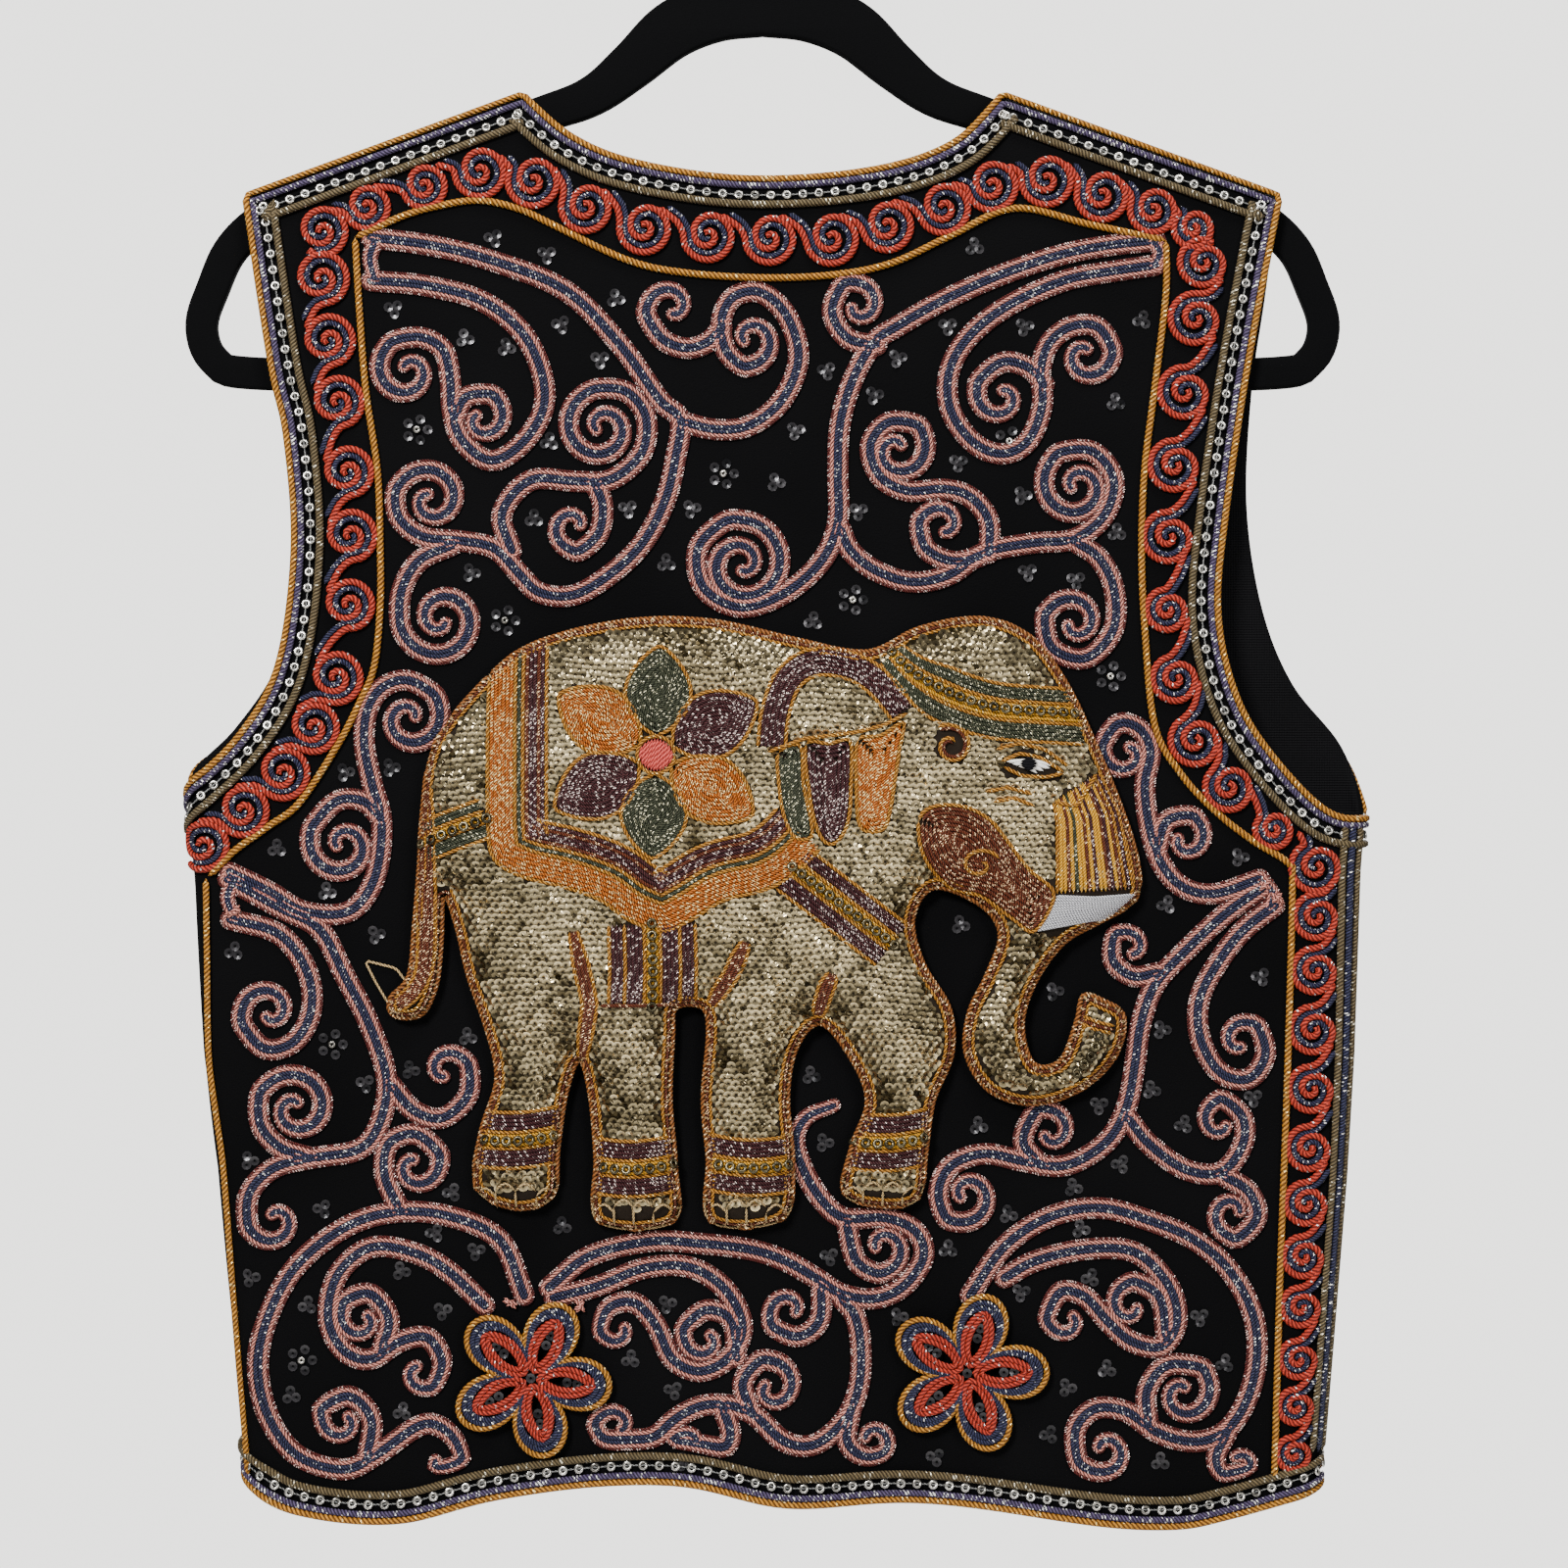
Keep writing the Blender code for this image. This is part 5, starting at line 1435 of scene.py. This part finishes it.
# every ribbon keeps clear of the hem, and narrows towards its end
for line in vines:
    limit = hemHeight(-1, line[:, 0]) + vest["bandWidth"] + ribbon["maroon"] + ribbon["hemGap"]
    line[:, 1] = limit + ribbon["hemEase"] * np.logaddexp(0, (line[:, 1] - limit) / ribbon["hemEase"])
    lay = evenly(line, ribbon["step"])
    narrow = np.interp(lineLength(lay)[-1] - lineLength(lay), (0, ribbon["tipLength"]),
                       (ribbon["tip"], 1))
    for finish, tipSteps, lift in (("navy", 2, 0.75 * mm), ("pink", 4, 0.8 * mm),
                                   ("maroon", 5, 0.5 * mm)):
        scrolls[finish].append(onCloth(-1, ringRound(lay, ribbon[finish] * narrow, tipSteps), lift, True))
# short pink knots where ribbons meet
knots = {"places": [(240, 930), (1290, 903), (1302, 916), (522, 1327), (592, 1330)], "strands": 3,
         "reach": 3.2 * mm, "lift": 1.7 * mm}
for pixel in knots["places"]:
    for strand in range(knots["strands"]):
        turn = rng.uniform(0, 6.28)
        reach = knots["reach"] * rng.uniform(0.6, 1.1) * compass(turn)
        bend = np.array([-reach[1], reach[0]]) * rng.uniform(-0.3, 0.3)
        middle = np.array(spot(*pixel))
        strandLine = smoothLine([middle - reach, middle + bend, middle + reach], perSpan=4)
        scrolls["pink"].append(onCloth(-1, evenly(strandLine, 1.2 * mm), knots["lift"]))
for finish, routes in scrolls.items():
    layCords("scroll_" + finish + "_cord", routes, ribbon[finish + "Radius"], finish,
             sides=5 if finish == "maroon" else 6)
print("scrolls ready:", len(vines))


# Couched flowers near the hem

flowers = {"left": {"centre": (543, 1403), "turn": -7}, "right": {"centre": (986, 1398), "turn": 2},
           "radius": 31 * mm, "notch": 11 * mm, "lift": 3.0 * mm, "cord": 1.15 * mm,
           "rows": (("gold", 0.6), ("navy", 3.1), ("navy", 5.2)),
           "loops": ((3.0, 21.5, 10.5), (5.4, 16.8, 6.2)), "beads": (14 * mm, 18 * mm)}
flowerRoutes = {"gold": [], "navy": [], "orange": []}
flowerBeads = []
for place in ("left", "right"):
    middle = np.array(spot(*flowers[place]["centre"]))
    turn = math.radians(flowers[place]["turn"])
    angles = np.linspace(0, 2 * math.pi, 160, endpoint=False)
    swell = np.abs(np.cos(2.5 * (angles - turn))) ** 0.7
    for finish, inset in flowers["rows"]:
        reach = flowers["notch"] + (flowers["radius"] - flowers["notch"]) * swell - inset * mm
        line = middle + compass(angles) * reach[:, None]
        flowerRoutes[finish].append(onCloth(-1, line, flowers["lift"], True))
    for index in range(5):
        angle = turn + index * 2 * math.pi / 5
        for reach, length, width in flowers["loops"]:
            leaf = petal(middle, angle, reach * mm, length * mm, width * mm, 0.6)
            flowerRoutes["orange"].append(onCloth(-1, leaf, flowers["lift"], True))
        flowerBeads += [middle + compass(angle) * reach for reach in flowers["beads"]]
    flowerBeads.append(middle)
for finish, routes in flowerRoutes.items():
    piece = layCords("flower_" + finish + "_cord", routes, flowers["cord"], finish)
    if finish == "gold":
        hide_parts("flower_applique_left", "flower_applique_right")
print("flowers ready")


# Small sequins sewn on the velvet: threes, and a few rosettes round a bead

sparks = {"sequin": 1.9 * mm, "hole": 0.5 * mm, "cup": 0.3 * mm, "spread": 2.0 * mm, "count": 120,
          "tries": 2600, "fromRibbon": 7.5 * mm, "fromEdge": 7 * mm, "fromElephant": 7 * mm,
          "tailTip": (-146 * mm, -461 * mm), "fromTail": 13 * mm, "fromRosette": 14 * mm,
          "fromFlower": 33 * mm, "apart": 16 * mm, "rosetteReach": 4.2 * mm, "bead": 1.5 * mm,
          "beadTube": 0.55 * mm, "rosettes": [(425, 438), (738, 483), (515, 633), (870, 612),
                                              (340, 1065), (1133, 690), (310, 1385), (1030, 450)]}
vineSpots = np.vstack(vines)[::2]
panelEdge = np.vstack([frameLine[3][::-1], frameLine[0], frameLine[1], frameLine[2]])
tries = rng.uniform((-0.215, -0.645), (0.215, -0.125), (sparks["tries"], 2))
tries = tries[inside(panelEdge, tries)]
tries = tries[edgeDistance(panelEdge, tries) > sparks["fromEdge"]]
tries = tries[~inside(elephantOutline, tries)]
tries = tries[edgeDistance(elephantOutline, tries) > sparks["fromElephant"]]
tries = tries[np.linalg.norm(tries - sparks["tailTip"], axis=1) > sparks["fromTail"]]
flowerMiddles = spots(flowers["left"]["centre"], flowers["right"]["centre"])
chosen = []
for place in tries:
    taken = [(vineSpots, "fromRibbon"), (spots(*sparks["rosettes"]), "fromRosette"),
             (flowerMiddles, "fromFlower"), (chosen or [(1.0, 1.0)], "apart")]
    if all(np.linalg.norm(np.array(held) - place, axis=1).min() >= sparks[gap] for held, gap in taken):
        chosen.append(place)
places = []
for place in chosen[:sparks["count"]]:
    start = rng.uniform(0, 6.28)
    for index in range(3):
        angle = start + index * 2 * math.pi / 3
        places.append(place + sparks["spread"] * compass(angle))
silver = []
for pixel in sparks["rosettes"]:
    middle = np.array(spot(*pixel))
    silver.append(middle)
    for index in range(5):
        angle = index * 2 * math.pi / 5
        places.append(middle + sparks["rosetteReach"] * compass(angle))
places = np.vstack([places, flowerBeads])
points, out, _ = onCloth(-1, places, 0.5 * mm)
points[-len(flowerBeads):] += out[-len(flowerBeads):] * 2.4 * mm
sample = cuppedSequin(sparks["sequin"], sparks["hole"], sparks["cup"])
scatter("velvet_sequins", sample, points, out, 0.0, "smoke")
points, out, _ = onCloth(-1, np.array(silver), 1.0 * mm)
sample = ringBead(sparks["bead"], sparks["beadTube"])
scatter("rosette_beads", sample, points, out, 0.0, "bead")
print("sequins on the velvet ready")


# Hanger

hanger = {"thickness": 2.6 * mm, "round": 1.3 * mm, "samples": 200}
# across, height and half width of the bar's middle line, in mm
hangerBar = [
    (0, -82, 11.3), (18, -84, 11.3), (35, -91, 11.0), (51, -105, 9.2), (67, -117, 7.6),
    (90, -125.4, 6.8), (145, -145.8, 6.8), (185, -160.8, 6.8), (197, -167, 6.8), (207, -177, 6.5),
    (213, -190, 6.3), (218, -206, 6.2), (213, -219.5, 6.2), (197, -224.5, 6.2), (120, -225, 6.2),
    (0, -225, 6.2),
]
half = smoothLine(np.array(hangerBar) * mm)
half = along(half, np.linspace(0, lineLength(half[:, :2])[-1], hanger["samples"]))
loop = np.vstack([half, half[1:-1][::-1] * (-1, 1, 1)])
heading = np.roll(loop[:, :2], -1, axis=0) - np.roll(loop[:, :2], 1, axis=0)
heading /= np.linalg.norm(heading, axis=1)[:, None]
outward = np.column_stack([-heading[:, 1], heading[:, 0]])
shape = bpy.data.curves.new("hanger_flock", "CURVE")
shape.dimensions = "2D"
shape.fill_mode = "BOTH"
shape.extrude = hanger["thickness"] - hanger["round"]
shape.bevel_depth = hanger["round"]
shape.bevel_resolution = 3
for way in (1, -1):
    line = loop[:, :2] + way * (loop[:, 2:3] - hanger["round"]) * outward
    spline = shape.splines.new("POLY")
    spline.points.add(len(line) - 1)
    for point, (across, height) in zip(spline.points, line):
        point.co = (across, height, 0, 1)
    spline.use_cyclic_u = True
flat = bpy.data.objects.new("hanger_line", shape)
intoScene(flat)
bpy.context.view_layer.update()
mesh = bpy.data.meshes.new_from_object(flat.evaluated_get(bpy.context.evaluated_depsgraph_get()))
bpy.data.objects.remove(flat)
mesh.transform(Matrix.Rotation(math.pi / 2, 4, "X"))
weld(mesh, 1e-5)
mesh.set_sharp_from_angle(angle=math.radians(60))
flock = keep("hanger_flock", mesh, "flock")
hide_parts("hanger_frame")
hook = bpy.data.objects["hanger_hook"]
for held in hook.material_slots:
    held.material = finishes["steel"]
print("hanger ready")
